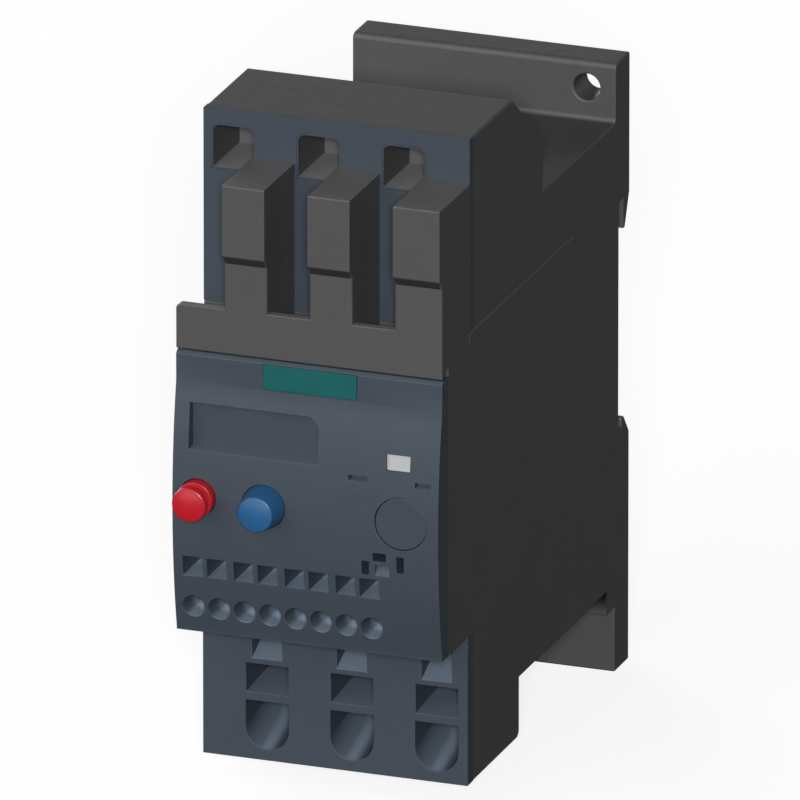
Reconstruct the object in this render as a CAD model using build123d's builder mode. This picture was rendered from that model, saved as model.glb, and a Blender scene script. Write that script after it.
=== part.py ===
"""Thermal overload relay plugged into its terminal support, in millimetres.

The origin is the centre of the rear mounting plate's back face. X runs to the right, Y to the rear
and Z up, so the relay's front is towards -Y.
"""

from build123d import *
import os

os.makedirs("parts", exist_ok=True)

# Overall sizes, with depths taken along Y and heights from the plate's centre
width = 45.0
plate_height = 104.0
plate_thickness = 6.8
saddle_depth = 26.7
relay_depth = 61.8
upper_setback = 12.7
lower_setback = 12.0
upper_layer = 2.0
lower_layer = 2.6
upper_block_depth = 34.5
upper_flat_depth = 20.1
lower_block_depth = 24.4
block_top_z = 62.2
block_shoulder_z = 50.9
saddle_top_z = 42.0
parting_z = 29.7
shroud_seat_z = 27.0
band_top_z = 33.4
cover_top_z = 25.6
cover_bottom_z = -21.7
relay_bottom_z = -37.0
lower_block_bottom_z = -47.0
foot_bottom_z = -41.0
foot_depth = 10.7

# Walls and clearances
wall = 1.5
thick_wall = 2.0
parting_gap = 0.03
seat_gap = 0.3
running_gap = 0.05
guide_gap = 0.1

# Poles
pole_count = 3
pole_margin = 0.9
arm_margin = 4.35
arm_offset = 0.9
entry_margin = 5.15

# Panel screw holes
screw_spacing_x = 35.0
screw_spacing_z = 95.0
screw_hole_radius = 2.25

# Recess for the 35 mm rail
rail_wall_depth = 5.05
rail_slot_width = 2.05
upper_slot_top_z = 27.8
upper_lip_z = 22.7
lower_slot_width = 1.35
lower_slot_z = -10.8
lower_lip_z = -9.4
lip_nose_depth = 2.2
lip_chamfer_rise = 5.6
lower_chamfer_drop = 3.3

# Arms of the pin shroud
arm_width = 7.2
arm_proud = 1.3
arm_top_z = 54.7
arm_step_z = 42.75
band_thickness = 1.7
shroud_floor = 1.6

# Front cover
cover_skirt = 3.0
cover_bulge = 1.87
cover_slab = 2.2
header_height = 5.1
chin_height = 0.5
cover_chamfer = 0.6

# Buttons and dial
stop_margin = 4.3
stop_z = 1.8
stop_radius = 3.0
stop_head_radius = 2.9
stop_head_thickness = 1.6
stop_neck_radius = 1.9
stop_base_proud = 1.6
button_spacing = 11.1
reset_z = 1.5
reset_radius = 3.6
reset_front_radius = 2.85
dial_margin = 6.35
dial_z = 1.45
dial_radius = 4.35
dial_gap = 0.1
dial_setback = 0.3
stop_proud = 4.7
reset_proud = 4.3
button_travel = 2.5
stem_radius = 1.8
flange_thickness = 1.0
flange_rim = 0.4
flange_trim = 0.6

# Auxiliary terminals
aux_count = 8
aux_pitch = 4.31
aux_margin = 3.2
square_funnel_width = 3.4
square_funnel_height = 3.3
square_funnel_z = -10.2
pair_shift = 0.13
round_funnel_radius = 1.95
round_collar_radius = 1.6
round_funnel_z = -17.2
square_collar_depth = 4.15
square_throat_width = 0.9
square_throat_height = 0.8
round_collar_depth = 2.8
round_cone_depth = 1.4
round_throat_radius = 0.75
funnel_block_depth = 5.7

# Mechanism
plate_gap_depth = 9.5
mechanism_thickness = 2.0
trip_travel = 1.5
lever_arm = 8.0
bar_thickness = 1.0
bar_width = 4.0

# Stations that follow from the sizes above
half_width = width / 2
inner_x = half_width - wall
band_y = -(saddle_depth + relay_depth)
relay_back_y = -saddle_depth
upper_face_y = band_y + upper_setback
upper_core_y = upper_face_y + upper_layer
upper_back_y = upper_face_y + upper_block_depth
lower_face_y = band_y + lower_setback
lower_core_y = lower_face_y + lower_layer
lower_back_y = lower_face_y + lower_block_depth
cover_back_y = band_y + cover_skirt
cover_inner_y = band_y + cover_slab
crown_y = band_y - cover_bulge
rail_wall_y = -rail_wall_depth
pole_pitch = (width - 2 * pole_margin) / pole_count
arms = [half_width - arm_margin - (pole_count - 1 - i) * pole_pitch for i in range(pole_count)]
poles = [x - arm_offset for x in arms]
entries = [-half_width + entry_margin + i * pole_pitch for i in range(pole_count)]
aux_columns = [-half_width + aux_margin + i * aux_pitch for i in range(aux_count)]
stop_x = -half_width + stop_margin
reset_x = stop_x + button_spacing
dial_x = half_width - dial_margin
mechanism_front_y = cover_inner_y + plate_gap_depth
mechanism_back_y = mechanism_front_y + mechanism_thickness


def side_outline(x, points):
    """Face on the plane at x, with its outline given in Y and Z."""
    with BuildSketch(Plane.YZ.offset(x)) as outline:
        with BuildLine():
            Polyline(*points, close=True)
        make_face()
    return outline.sketch


def front_outline(y, points):
    """Face on the plane at y that looks to the front, with its outline given in X and Z."""
    with BuildSketch(Plane.XZ.offset(-y)) as outline:
        with BuildLine():
            Polyline(*points, close=True)
        make_face()
    return outline.sketch


def block(low, high, mode=Mode.ADD):
    """Box between two opposite corners, in the part that is being built."""
    size = [b - a for a, b in zip(low, high)]
    centre = [(a + b) / 2 for a, b in zip(low, high)]
    with Locations(tuple(centre)):
        Box(*size, mode=mode)


def rod_y(x, z, y_front, y_rear, radius, mode=Mode.ADD):
    """Round bar along Y, in the part that is being built."""
    with Locations(Location((x, (y_front + y_rear) / 2, z), (90, 0, 0))):
        Cylinder(radius, y_rear - y_front, mode=mode)


def cone_y(x, z, y_front, y_rear, front_radius, rear_radius, mode=Mode.ADD):
    """Cone along Y, in the part that is being built."""
    with Locations(Location((x, (y_front + y_rear) / 2, z), (90, 0, 0))):
        Cone(rear_radius, front_radius, y_rear - y_front, mode=mode)


def save(piece, name):
    """Label a finished piece and write its file."""
    piece.part.label = name
    export_step(piece.part, f"parts/{name}.step")


# Support base: rear plate, rail hooks, saddle and the housing of the upper block
hook_y = -(rail_wall_depth - rail_slot_width)
latch_y = -(rail_wall_depth - lower_slot_width)
saddle_inner_y = -(plate_thickness + thick_wall)
chute_depth = 12.2
chute_wall = 1.8
chute_floor_z = 52.5
chute_y = upper_face_y + chute_depth
rib_half = 0.8
rib_shift = 3.9
pocket_edges = [-inner_x - rib_half] + [x + rib_shift for x in arms[:-1]] + [inner_x + rib_half]
outer_points = [
    (0, -plate_height / 2),
    (0, lower_lip_z - lower_chamfer_drop),
    (-lip_nose_depth - 0.3, lower_lip_z),
    (latch_y, lower_lip_z),
    (latch_y, lower_slot_z),
    (rail_wall_y, lower_slot_z),
    (rail_wall_y, upper_slot_top_z),
    (hook_y, upper_slot_top_z),
    (hook_y, upper_lip_z),
    (-lip_nose_depth, upper_lip_z),
    (0, upper_lip_z + lip_chamfer_rise),
    (0, plate_height / 2),
    (-plate_thickness, plate_height / 2),
    (-plate_thickness, saddle_top_z),
    (upper_back_y, saddle_top_z),
    (upper_back_y, block_shoulder_z),
    (upper_face_y + upper_flat_depth, block_top_z),
    (upper_core_y, block_top_z),
    (upper_core_y, parting_z),
    (relay_back_y, parting_z),
    (relay_back_y, relay_bottom_z),
    (-foot_depth, relay_bottom_z),
    (-foot_depth, foot_bottom_z),
    (-plate_thickness, foot_bottom_z),
    (-plate_thickness, -plate_height / 2),
]
pocket_points = [
    (upper_core_y, parting_z + thick_wall),
    (upper_core_y, chute_floor_z - thick_wall),
    (chute_y + chute_wall, chute_floor_z - thick_wall),
    (chute_y + chute_wall, block_top_z - thick_wall),
    (upper_face_y + upper_flat_depth - 0.6, block_top_z - thick_wall),
    (upper_back_y - thick_wall, block_shoulder_z - 0.9),
    (upper_back_y - thick_wall, parting_z + thick_wall),
]
column_points = [
    (relay_back_y, relay_bottom_z + thick_wall),
    (saddle_inner_y, relay_bottom_z + thick_wall),
    (saddle_inner_y, saddle_top_z - thick_wall),
    (upper_back_y + thick_wall, saddle_top_z - thick_wall),
    (upper_back_y + thick_wall, parting_z + thick_wall),
    (relay_back_y, parting_z + thick_wall),
]
pusher_half = 12.0
pusher_ear = 1.7
pusher_neck = 1.0
pusher_travel = 3.5
pusher_bottom_z = 24.3
pusher_ear_z = upper_slot_top_z + pusher_neck + seat_gap
pusher_ear_height = 1.9
ear_pocket_top_z = pusher_ear_z + pusher_ear_height + pusher_travel + seat_gap
spring_bore_radius = 1.45
spring_bore_top_z = 41.0
spring_bore_y = rail_wall_y + rail_slot_width / 2
spring_margin = 4.0
spring_places = [-pusher_half + spring_margin, pusher_half - spring_margin]
arch_width = 6.95
arch_height = 7.1
arch_radius = 1.2
arch_rim = 0.3
conductor_hole_radius = 1.6
conductor_shift = 0.8
conductor_z = chute_floor_z + arch_height / 2 + conductor_shift


def arch_outline(x, grow):
    """Face of an arched opening on the block's front, larger by grow all round."""
    with BuildSketch(Plane.XZ.offset(-upper_face_y)) as outline:
        with Locations((x, chute_floor_z + arch_height / 2)):
            RectangleRounded(arch_width + 2 * grow, arch_height + 2 * grow, arch_radius + grow)
        with Locations((x, chute_floor_z + arch_height / 4)):
            Rectangle(arch_width + 2 * grow, arch_height / 2 + 2 * grow)
    return outline.sketch


with BuildPart() as support_base:
    extrude(side_outline(-half_width, outer_points), amount=width)
    plate_top = support_base.edges().filter_by(Axis.X)
    plate_top = plate_top.filter_by_position(Axis.Z, plate_height / 2 - 0.1, plate_height / 2 + 0.1)
    fillet(plate_top.sort_by(Axis.Y)[0], radius=1.0)
    saddle_corner = support_base.edges().filter_by(Axis.X)
    saddle_corner = saddle_corner.filter_by_position(Axis.Z, saddle_top_z - 0.1, saddle_top_z + 0.1)
    fillet(saddle_corner.sort_by(Axis.Y)[-1], radius=0.8)
    for i, x in enumerate(arms):
        left = pocket_edges[i] + rib_half
        right = pocket_edges[i + 1] - rib_half
        extrude(side_outline(left, pocket_points), amount=right - left, mode=Mode.SUBTRACT)
    extrude(side_outline(-inner_x, column_points), amount=2 * inner_x, mode=Mode.SUBTRACT)
    for x in entries:
        extrude(arch_outline(x, arch_rim), amount=-upper_layer)
        extrude(arch_outline(x, 0), amount=-chute_depth, mode=Mode.SUBTRACT)
        rod_y(
            x + conductor_shift,
            conductor_z,
            chute_y - 1,
            chute_y + chute_wall + 1,
            conductor_hole_radius,
            Mode.SUBTRACT,
        )
    for sx, sz in ((1, 1), (-1, -1)):
        rod_y(
            sx * screw_spacing_x / 2,
            sz * screw_spacing_z / 2,
            -plate_thickness - 1,
            1,
            screw_hole_radius,
            Mode.SUBTRACT,
        )
    block(
        (-pusher_half - guide_gap, rail_wall_y, upper_slot_top_z - 0.5),
        (pusher_half + guide_gap, hook_y, ear_pocket_top_z),
        Mode.SUBTRACT,
    )
    block(
        (-pusher_half - pusher_ear - guide_gap, rail_wall_y, upper_slot_top_z + pusher_neck),
        (pusher_half + pusher_ear + guide_gap, hook_y, ear_pocket_top_z),
        Mode.SUBTRACT,
    )
    for x in spring_places:
        with Locations((x, spring_bore_y, (upper_slot_top_z + spring_bore_top_z) / 2)):
            Cylinder(spring_bore_radius, spring_bore_top_z - upper_slot_top_z, mode=Mode.SUBTRACT)
save(support_base, "support_base")

# Support front: the lighter front layer of the upper block
pin_z = 48.0
pin_half = 2.0
with BuildPart() as support_front:
    block((-half_width, upper_face_y, parting_z), (half_width, upper_core_y, block_top_z))
    for x in entries:
        cut = arch_outline(x, arch_rim + running_gap)
        extrude(cut, amount=-upper_layer, mode=Mode.SUBTRACT)
    for x in arms:
        block(
            (x - pin_half - seat_gap, upper_face_y - 1, pin_z - seat_gap),
            (x + pin_half + seat_gap, upper_core_y + 1, pin_z + bar_thickness + seat_gap),
            Mode.SUBTRACT,
        )
save(support_front, "support_front")

# Upper busbars: a shelf under each pin and a leg with a window for the line conductor
leg_gap = 5.2
leg_y = chute_y + chute_wall + leg_gap
leg_half = 2.8
leg_head_gap = 0.6
with BuildPart() as upper_busbars:
    for arm_x, entry_x in zip(arms, entries):
        shelf_top = pin_z
        block(
            (entry_x - leg_half, upper_core_y + seat_gap, shelf_top - bar_thickness),
            (arm_x + pin_half, leg_y, shelf_top),
        )
        block(
            (entry_x - leg_half, leg_y - bar_thickness, shelf_top - bar_thickness),
            (entry_x + leg_half, leg_y, block_top_z - thick_wall - leg_head_gap),
        )
        rod_y(
            entry_x + conductor_shift,
            conductor_z,
            leg_y - bar_thickness - 1,
            leg_y + 1,
            conductor_hole_radius,
            Mode.SUBTRACT,
        )
save(upper_busbars, "upper_busbars")

# Upper clamps: a bent strip that presses each pin on its busbar, and carries the busbar's shelf
strip = 0.6
clamp_width = 10.0
clamp_setback = 1.0
clamp_front_edge_y = upper_core_y + clamp_setback
clamp_rear_y = clamp_front_edge_y + clamp_width
clamp_drop = 8.0
with BuildPart() as upper_clamps:
    for x in arms:
        low = x - pin_half
        side = x + pin_half + guide_gap
        top = pin_z + bar_thickness
        shelf_z = pin_z - bar_thickness
        bottom = shelf_z - clamp_drop
        block((low, clamp_front_edge_y, top), (side + strip, clamp_rear_y, top + strip))
        block((side, clamp_front_edge_y, bottom), (side + strip, clamp_rear_y, top + strip))
        block((low, clamp_front_edge_y, bottom), (side + strip, clamp_rear_y, bottom + strip))
        block((low, clamp_front_edge_y, bottom), (low + strip, clamp_rear_y, shelf_z))
save(upper_clamps, "upper_clamps")

# Rail pusher: pressure plate in the upper slot, with ears that keep it in its pocket
with BuildPart() as rail_pusher:
    plate_front = rail_wall_y + guide_gap
    plate_rear = hook_y - guide_gap
    ear_top = pusher_ear_z + pusher_ear_height
    block((-pusher_half, plate_front, pusher_bottom_z), (pusher_half, plate_rear, ear_top))
    block(
        (-pusher_half - pusher_ear, plate_front, pusher_ear_z),
        (pusher_half + pusher_ear, plate_rear, ear_top),
    )
save(rail_pusher, "rail_pusher")


def coil(start, axis, length, radius, wire, turns):
    """Coil spring whose ends reach from start to length along the axis, as a swept round wire."""
    heading = Vector(axis)
    with BuildPart() as spring:
        with BuildLine() as path:
            Helix(
                pitch=(length - wire) / turns,
                height=length - wire,
                radius=radius,
                center=Vector(start) + heading * wire / 2,
                direction=heading,
            )
        with BuildSketch(Plane(origin=path.line @ 0, z_dir=path.line % 0)):
            Circle(wire / 2)
        sweep(path=path.line, is_frenet=True)
    return spring.part


# Rail springs: two small coils above the pusher
rail_wire = 0.4
rail_coil_radius = 1.0
with BuildPart() as rail_springs:
    spring_low = pusher_ear_z + pusher_ear_height + 0.1
    spring_length = spring_bore_top_z - 0.1 - spring_low
    for x in spring_places:
        start = (x, spring_bore_y, spring_low)
        add(coil(start, (0, 0, 1), spring_length, rail_coil_radius, rail_wire, 6))
save(rail_springs, "rail_springs")

# Relay housing: case open at the front, with the lower terminal housing under it
pocket_half = 3.7
pin_setback = 2.0
pin_slot_y = cover_back_y + pin_setback
pin_slot_depth = 4.5
clamp_setback_y = 14.0
clamp_front_y = lower_face_y + clamp_setback_y
clamp_back_y = lower_back_y - thick_wall
pocket_bottom_z = lower_block_bottom_z + thick_wall
shroud_gap_y = upper_face_y
relay_top_z = parting_z - parting_gap
case_points = [
    (cover_back_y, cover_bottom_z),
    (cover_back_y, shroud_seat_z),
    (shroud_gap_y, shroud_seat_z),
    (shroud_gap_y, relay_top_z),
    (relay_back_y - parting_gap, relay_top_z),
    (relay_back_y - parting_gap, relay_bottom_z),
    (lower_back_y, relay_bottom_z),
    (lower_back_y, lower_block_bottom_z),
    (lower_core_y, lower_block_bottom_z),
    (lower_core_y, cover_bottom_z),
]
cavity_points = [
    (cover_back_y, cover_bottom_z + wall),
    (clamp_front_y, cover_bottom_z + wall),
    (clamp_front_y, relay_bottom_z + wall),
    (relay_back_y - parting_gap - wall, relay_bottom_z + wall),
    (relay_back_y - parting_gap - wall, relay_top_z - wall),
    (shroud_gap_y + wall, relay_top_z - wall),
    (shroud_gap_y + wall, shroud_seat_z - wall),
    (cover_back_y, shroud_seat_z - wall),
]
square_width = 7.15
square_low_z = -35.6
square_high_z = -30.7
square_depth = 12.5
square_rise = 0.8
cable_width = 7.3
cable_low_z = -45.2
cable_high_z = -37.0
cable_depth = 13.0
cable_side_rise = 1.8
cable_floor_rise = 3.6
slot_width = 5.15
slot_low_z = -29.8
slot_high_z = -22.6
slot_depth = 11.5
slot_rise = 5.1
wire_hole_radius = 2.0
wire_hole_z = -39.3
release_hole_radius = 1.4
release_hole_height = 2.3
insert_skin = 0.7
insert_floor = 1.0
insert_rear_y = lower_face_y + cable_depth
guide_rib_z = 12.7
guide_rib_height = 2.2
left_rib_width = 4.6
right_rib_width = 2.6
slide_front_y = -48.0
slide_rear_y = -36.0
screw_boss_radius = 2.4
screw_radius = 1.0
screw_length = 12.0
screw_margin = 2.2
screw_places = [(-inner_x + screw_margin, 18.5), (inner_x - screw_margin, -16.9)]


def front_cuts():
    """Terminal openings of the lower block, cut into the part that is being built."""
    for x in poles:
        for opening_width, low_z, high_z, depth, rise in (
            (square_width, square_low_z, square_high_z, square_depth, square_rise),
            (slot_width, slot_low_z, slot_high_z, slot_depth, slot_rise),
        ):
            points = [
                (lower_face_y - 1, low_z),
                (lower_face_y, low_z),
                (lower_face_y + depth, low_z + rise),
                (lower_face_y + depth, high_z),
                (lower_face_y - 1, high_z),
            ]
            opening = side_outline(x - opening_width / 2, points)
            extrude(opening, amount=opening_width, mode=Mode.SUBTRACT)


def cable_channel(x):
    """Cable entry that rises inwards, with a round floor and a square top, as its own solid."""
    half = cable_width / 2
    arc_z = cable_low_z + half
    with BuildPart() as channel:
        for y, side_rise, floor_rise in (
            (lower_face_y, 0.0, 0.0),
            (insert_rear_y, cable_side_rise, cable_floor_rise),
        ):
            with BuildSketch(Plane.XZ.offset(-y)):
                with BuildLine():
                    Line((x - half, arc_z + side_rise), (x - half, cable_high_z))
                    Line((x - half, cable_high_z), (x + half, cable_high_z))
                    Line((x + half, cable_high_z), (x + half, arc_z + side_rise))
                    ThreePointArc(
                        (x + half, arc_z + side_rise),
                        (x, cable_low_z + floor_rise),
                        (x - half, arc_z + side_rise),
                    )
                make_face()
        loft()
    return channel.part


def wire_holes():
    """Holes from the lower openings to the clamps, cut into the part that is being built."""
    for x in poles:
        rod_y(
            x,
            wire_hole_z,
            lower_face_y + cable_depth - 1,
            clamp_front_y + 1,
            wire_hole_radius,
            Mode.SUBTRACT,
        )
        rod_y(
            x,
            square_low_z + release_hole_height,
            lower_face_y + square_depth - 1,
            clamp_front_y + 1,
            release_hole_radius,
            Mode.SUBTRACT,
        )


with BuildPart() as relay_housing:
    extrude(side_outline(-half_width, case_points), amount=width)
    heel = relay_housing.edges().filter_by(Axis.X)
    heel = heel.filter_by_position(Axis.Z, lower_block_bottom_z - 0.1, lower_block_bottom_z + 0.1)
    fillet(heel.sort_by(Axis.Y)[-1], radius=1.2)
    extrude(side_outline(-inner_x, cavity_points), amount=2 * inner_x, mode=Mode.SUBTRACT)
    block(
        (-half_width + insert_skin, lower_core_y - 1, lower_block_bottom_z + insert_floor),
        (half_width - insert_skin, insert_rear_y + running_gap, cover_bottom_z),
        Mode.SUBTRACT,
    )
    for x in poles:
        block(
            (x - pocket_half, clamp_front_y, pocket_bottom_z),
            (x + pocket_half, clamp_back_y, relay_bottom_z + wall + 0.5),
            Mode.SUBTRACT,
        )
    wire_holes()
    for x in arms:
        block(
            (x - pin_half - seat_gap, pin_slot_y, shroud_seat_z - wall - 1),
            (x + pin_half + seat_gap, pin_slot_y + pin_slot_depth, shroud_seat_z + 1),
            Mode.SUBTRACT,
        )
    for low_x, rib_width in ((-inner_x, left_rib_width), (inner_x - right_rib_width, right_rib_width)):
        block(
            (low_x, slide_front_y, guide_rib_z - guide_rib_height),
            (low_x + rib_width, slide_rear_y, guide_rib_z),
        )
    for x, z in screw_places:
        rod_y(x, z, mechanism_back_y, mechanism_back_y + screw_length, screw_boss_radius)
        rod_y(
            x,
            z,
            mechanism_back_y,
            mechanism_back_y + screw_length - wall,
            screw_radius + running_gap,
            Mode.SUBTRACT,
        )
save(relay_housing, "relay_housing")

# Lower front: the lighter front layer of the lower block, with the insert that holds its openings
with BuildPart() as lower_front:
    block(
        (-half_width, lower_face_y, lower_block_bottom_z),
        (half_width, lower_core_y, cover_bottom_z),
    )
    block(
        (
            -half_width + insert_skin + running_gap,
            lower_core_y,
            lower_block_bottom_z + insert_floor + running_gap,
        ),
        (half_width - insert_skin - running_gap, insert_rear_y, cover_bottom_z - running_gap),
    )
    front_cuts()
    for x in poles:
        add(cable_channel(x), mode=Mode.SUBTRACT)
    wire_holes()
save(lower_front, "lower_front")

# Pin shroud: band, floor and three arms in one moulding
shroud_back_y = upper_face_y - parting_gap
arm_cavity_half = pin_half + seat_gap
arm_lower_points = [
    (band_y, cover_top_z + seat_gap),
    (band_y, arm_step_z - arm_proud - 0.25),
    (band_y - arm_proud, arm_step_z),
    (band_y - arm_proud, arm_top_z),
    (shroud_back_y, arm_top_z),
    (shroud_back_y, shroud_seat_z),
    (band_y + band_thickness, shroud_seat_z),
    (band_y + band_thickness, cover_top_z + seat_gap),
]
with BuildPart() as pin_shroud:
    block(
        (-half_width, band_y, cover_top_z + seat_gap),
        (half_width, band_y + band_thickness, band_top_z),
    )
    band_corners = pin_shroud.edges().filter_by(Axis.Y).group_by(Axis.Z)[-1]
    fillet(band_corners, radius=0.8)
    block(
        (-half_width, band_y, shroud_seat_z),
        (half_width, shroud_back_y, shroud_seat_z + shroud_floor),
    )
    for i, x in enumerate(arms):
        left = x - arm_width / 2
        right = x + arm_width / 2 if i < pole_count - 1 else half_width
        extrude(side_outline(left, arm_lower_points), amount=right - left)
    for x in arms:
        block(
            (x - arm_cavity_half, pin_slot_y, shroud_seat_z - 1),
            (x + arm_cavity_half, shroud_back_y + 1, pin_z + bar_thickness + seat_gap),
            Mode.SUBTRACT,
        )
save(pin_shroud, "pin_shroud")

# Connection pins: angled bars that rise in the arms and enter the upper block
pin_front_y = pin_slot_y + seat_gap
supply_top_z = 24.6
with BuildPart() as connection_pins:
    for x in arms:
        pin_points = [
            (pin_front_y, supply_top_z),
            (pin_front_y, pin_z + bar_thickness),
            (clamp_rear_y - 1.0, pin_z + bar_thickness),
            (clamp_rear_y - 1.0, pin_z),
            (pin_front_y + bar_thickness, pin_z),
            (pin_front_y + bar_thickness, supply_top_z),
        ]
        extrude(side_outline(x - pin_half, pin_points), amount=bar_width)
save(connection_pins, "connection_pins")

# Front cover: slab with a convex face, header, label recess and terminal funnels
aux_block_low_x = -inner_x + guide_gap
aux_block_high_x = aux_columns[-1] + aux_pitch / 2
recess_left_x = -half_width + 2.6
recess_right_x = 1.9
recess_low_z = 9.6
recess_high_z = 17.2
recess_corner_width = 1.45
recess_corner_height = 1.6
recess_depth = 0.8
recess_points = [
    (recess_left_x, recess_low_z),
    (recess_left_x, recess_high_z),
    (recess_right_x - recess_corner_width, recess_high_z),
    (recess_right_x, recess_high_z - recess_corner_height),
    (recess_right_x, recess_low_z),
]
recess_floor_y = band_y + recess_depth
tile_low_x = -7.8
tile_high_x = 8.1
tile_low_z = 20.7
tile_high_z = 25.0
tile_depth = 0.5
window_width = 4.0
window_height = 2.7
window_low = (half_width - 8.95, 10.1)
window_high = (window_low[0] + window_width, window_low[1] + window_height)
slide_rail_left = 2.7
slide_rail_right = 3.2
slide_margin_z = 0.5
test_travel = 1.2
slide_setback = 1.2
slide_thickness_y = 1.9
slide_face_y = crown_y + slide_setback
slide_back_y = slide_face_y + slide_thickness_y
guide_slots = [(half_width - 15.3, half_width - 12.2), (half_width - 4.05, half_width - 1.45)]
guide_slot_z = 8.2
guide_slot_height = 0.85
latch_x = half_width - 11.1
latch_slots = [
    ((latch_x, -5.3), (latch_x + 2.2, -3.95)),
    ((latch_x - 1.9, -7.8), (latch_x - 0.7, -5.5)),
    ((latch_x + 4.0, -6.9), (latch_x + 5.2, -4.2)),
]
latch_ramp = ((latch_x + 0.4, -8.0), (latch_x + 2.8, -6.0))
ramp_depth = 1.4
face_top_z = cover_top_z - header_height
face_low_z = cover_bottom_z + chin_height

cut_front_y = crown_y - 1
collar_y = band_y + square_collar_depth
round_collar_y = band_y + round_collar_depth
round_cone_y = round_collar_y + round_cone_depth
funnel_rear_y = band_y + funnel_block_depth
square_columns = [x + pair_shift * (-1) ** i for i, x in enumerate(aux_columns)]


def square_throat(x):
    """Tapered throat behind a square funnel, as its own solid."""
    with BuildPart() as throat:
        with BuildSketch(Plane.XZ.offset(-collar_y)):
            with Locations((x, square_funnel_z)):
                Rectangle(square_funnel_width, square_funnel_height)
        with BuildSketch(Plane.XZ.offset(-funnel_rear_y)):
            with Locations((x, square_funnel_z)):
                Rectangle(square_throat_width, square_throat_height)
        loft()
    return throat.part


with BuildPart() as front_cover:
    with BuildSketch(Plane.YZ.offset(-half_width)):
        with BuildLine():
            Polyline(
                (cover_inner_y, cover_bottom_z),
                (cover_inner_y, cover_top_z),
                (band_y + cover_chamfer, cover_top_z),
                (band_y, cover_top_z - cover_chamfer),
                (band_y, face_top_z),
            )
            ThreePointArc(
                (band_y, face_top_z),
                (crown_y, (face_top_z + face_low_z) / 2),
                (band_y, face_low_z),
            )
            Polyline((band_y, face_low_z), (band_y, cover_bottom_z), (cover_inner_y, cover_bottom_z))
        make_face()
    extrude(amount=width)
    block((-half_width, cover_inner_y, cover_bottom_z), (half_width, cover_back_y, cover_top_z))
    block(
        (-inner_x, cover_inner_y, cover_bottom_z + wall),
        (inner_x, cover_back_y, cover_top_z - wall),
        Mode.SUBTRACT,
    )
    for low_x, front_y, rear_y in (
        (-inner_x, cover_inner_y, cover_back_y),
        (aux_block_low_x, cover_back_y, funnel_rear_y),
    ):
        block(
            (low_x, front_y, cover_bottom_z + wall + guide_gap),
            (aux_block_high_x, rear_y, square_funnel_z + square_funnel_height),
        )
    extrude(front_outline(recess_floor_y, recess_points), amount=10, mode=Mode.SUBTRACT)
    block(
        (tile_low_x, band_y - 1, tile_low_z),
        (tile_high_x, band_y + tile_depth, tile_high_z),
        Mode.SUBTRACT,
    )
    rod_y(stop_x, stop_z, crown_y - 1, cover_inner_y + 1, stop_radius + guide_gap, Mode.SUBTRACT)
    rod_y(reset_x, reset_z, crown_y - 1, cover_inner_y + 1, reset_radius + guide_gap, Mode.SUBTRACT)
    rod_y(dial_x, dial_z, crown_y - 1, cover_inner_y + 1, dial_radius + dial_gap, Mode.SUBTRACT)
    block(
        (window_low[0], crown_y - 1, window_low[1]),
        (window_high[0], cover_inner_y + 1, window_high[1]),
        Mode.SUBTRACT,
    )
    block(
        (window_low[0] - slide_rail_left, slide_face_y - guide_gap, window_low[1] - slide_margin_z),
        (window_high[0] + slide_rail_right, cover_inner_y + 1, window_high[1] + slide_margin_z),
        Mode.SUBTRACT,
    )
    for low_x, high_x in guide_slots:
        block(
            (low_x, crown_y - 1, guide_slot_z - guide_slot_height / 2),
            (high_x, band_y, guide_slot_z + guide_slot_height / 2),
            Mode.SUBTRACT,
        )
    for low, high in latch_slots:
        block((low[0], cut_front_y, low[1]), (high[0], cover_inner_y + 1, high[1]), Mode.SUBTRACT)
    ramp_front_y = crown_y + 0.1
    ramp_points = [
        (ramp_front_y - 1, latch_ramp[0][1]),
        (ramp_front_y, latch_ramp[0][1]),
        (ramp_front_y + ramp_depth, latch_ramp[1][1]),
        (ramp_front_y - 1, latch_ramp[1][1]),
    ]
    ramp_face = side_outline(latch_ramp[0][0], ramp_points)
    extrude(ramp_face, amount=latch_ramp[1][0] - latch_ramp[0][0], mode=Mode.SUBTRACT)
    for x, square_x in zip(aux_columns, square_columns):
        block(
            (square_x - square_funnel_width / 2, cut_front_y, square_funnel_z - square_funnel_height / 2),
            (square_x + square_funnel_width / 2, collar_y, square_funnel_z + square_funnel_height / 2),
            Mode.SUBTRACT,
        )
        add(square_throat(square_x), mode=Mode.SUBTRACT)
        for front_y, rear_y, front_radius, rear_radius in (
            (crown_y, round_collar_y, round_funnel_radius, round_collar_radius),
            (round_collar_y, round_cone_y, round_collar_radius, round_throat_radius),
        ):
            cone_y(x, round_funnel_z, front_y, rear_y, front_radius, rear_radius, Mode.SUBTRACT)
        rod_y(x, round_funnel_z, round_collar_y, funnel_rear_y + 1, round_throat_radius, Mode.SUBTRACT)
save(front_cover, "front_cover")

# Name tile: bare coloured tile let into the header
with BuildPart() as name_tile:
    block(
        (tile_low_x + running_gap, band_y - 0.1, tile_low_z + running_gap),
        (tile_high_x - running_gap, band_y + tile_depth, tile_high_z - running_gap),
    )
save(name_tile, "name_tile")

# Test slide: white plate that also shows the switch position
slide_rest_gap = 0.4
with BuildPart() as test_slide:
    block(
        (
            window_low[0] - slide_rail_left + seat_gap,
            slide_face_y,
            window_low[1] - slide_margin_z + guide_gap,
        ),
        (
            window_high[0] + slide_rail_right - seat_gap - test_travel,
            slide_back_y,
            window_high[1] + slide_margin_z - guide_gap,
        ),
    )
save(test_slide, "test_slide")

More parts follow.
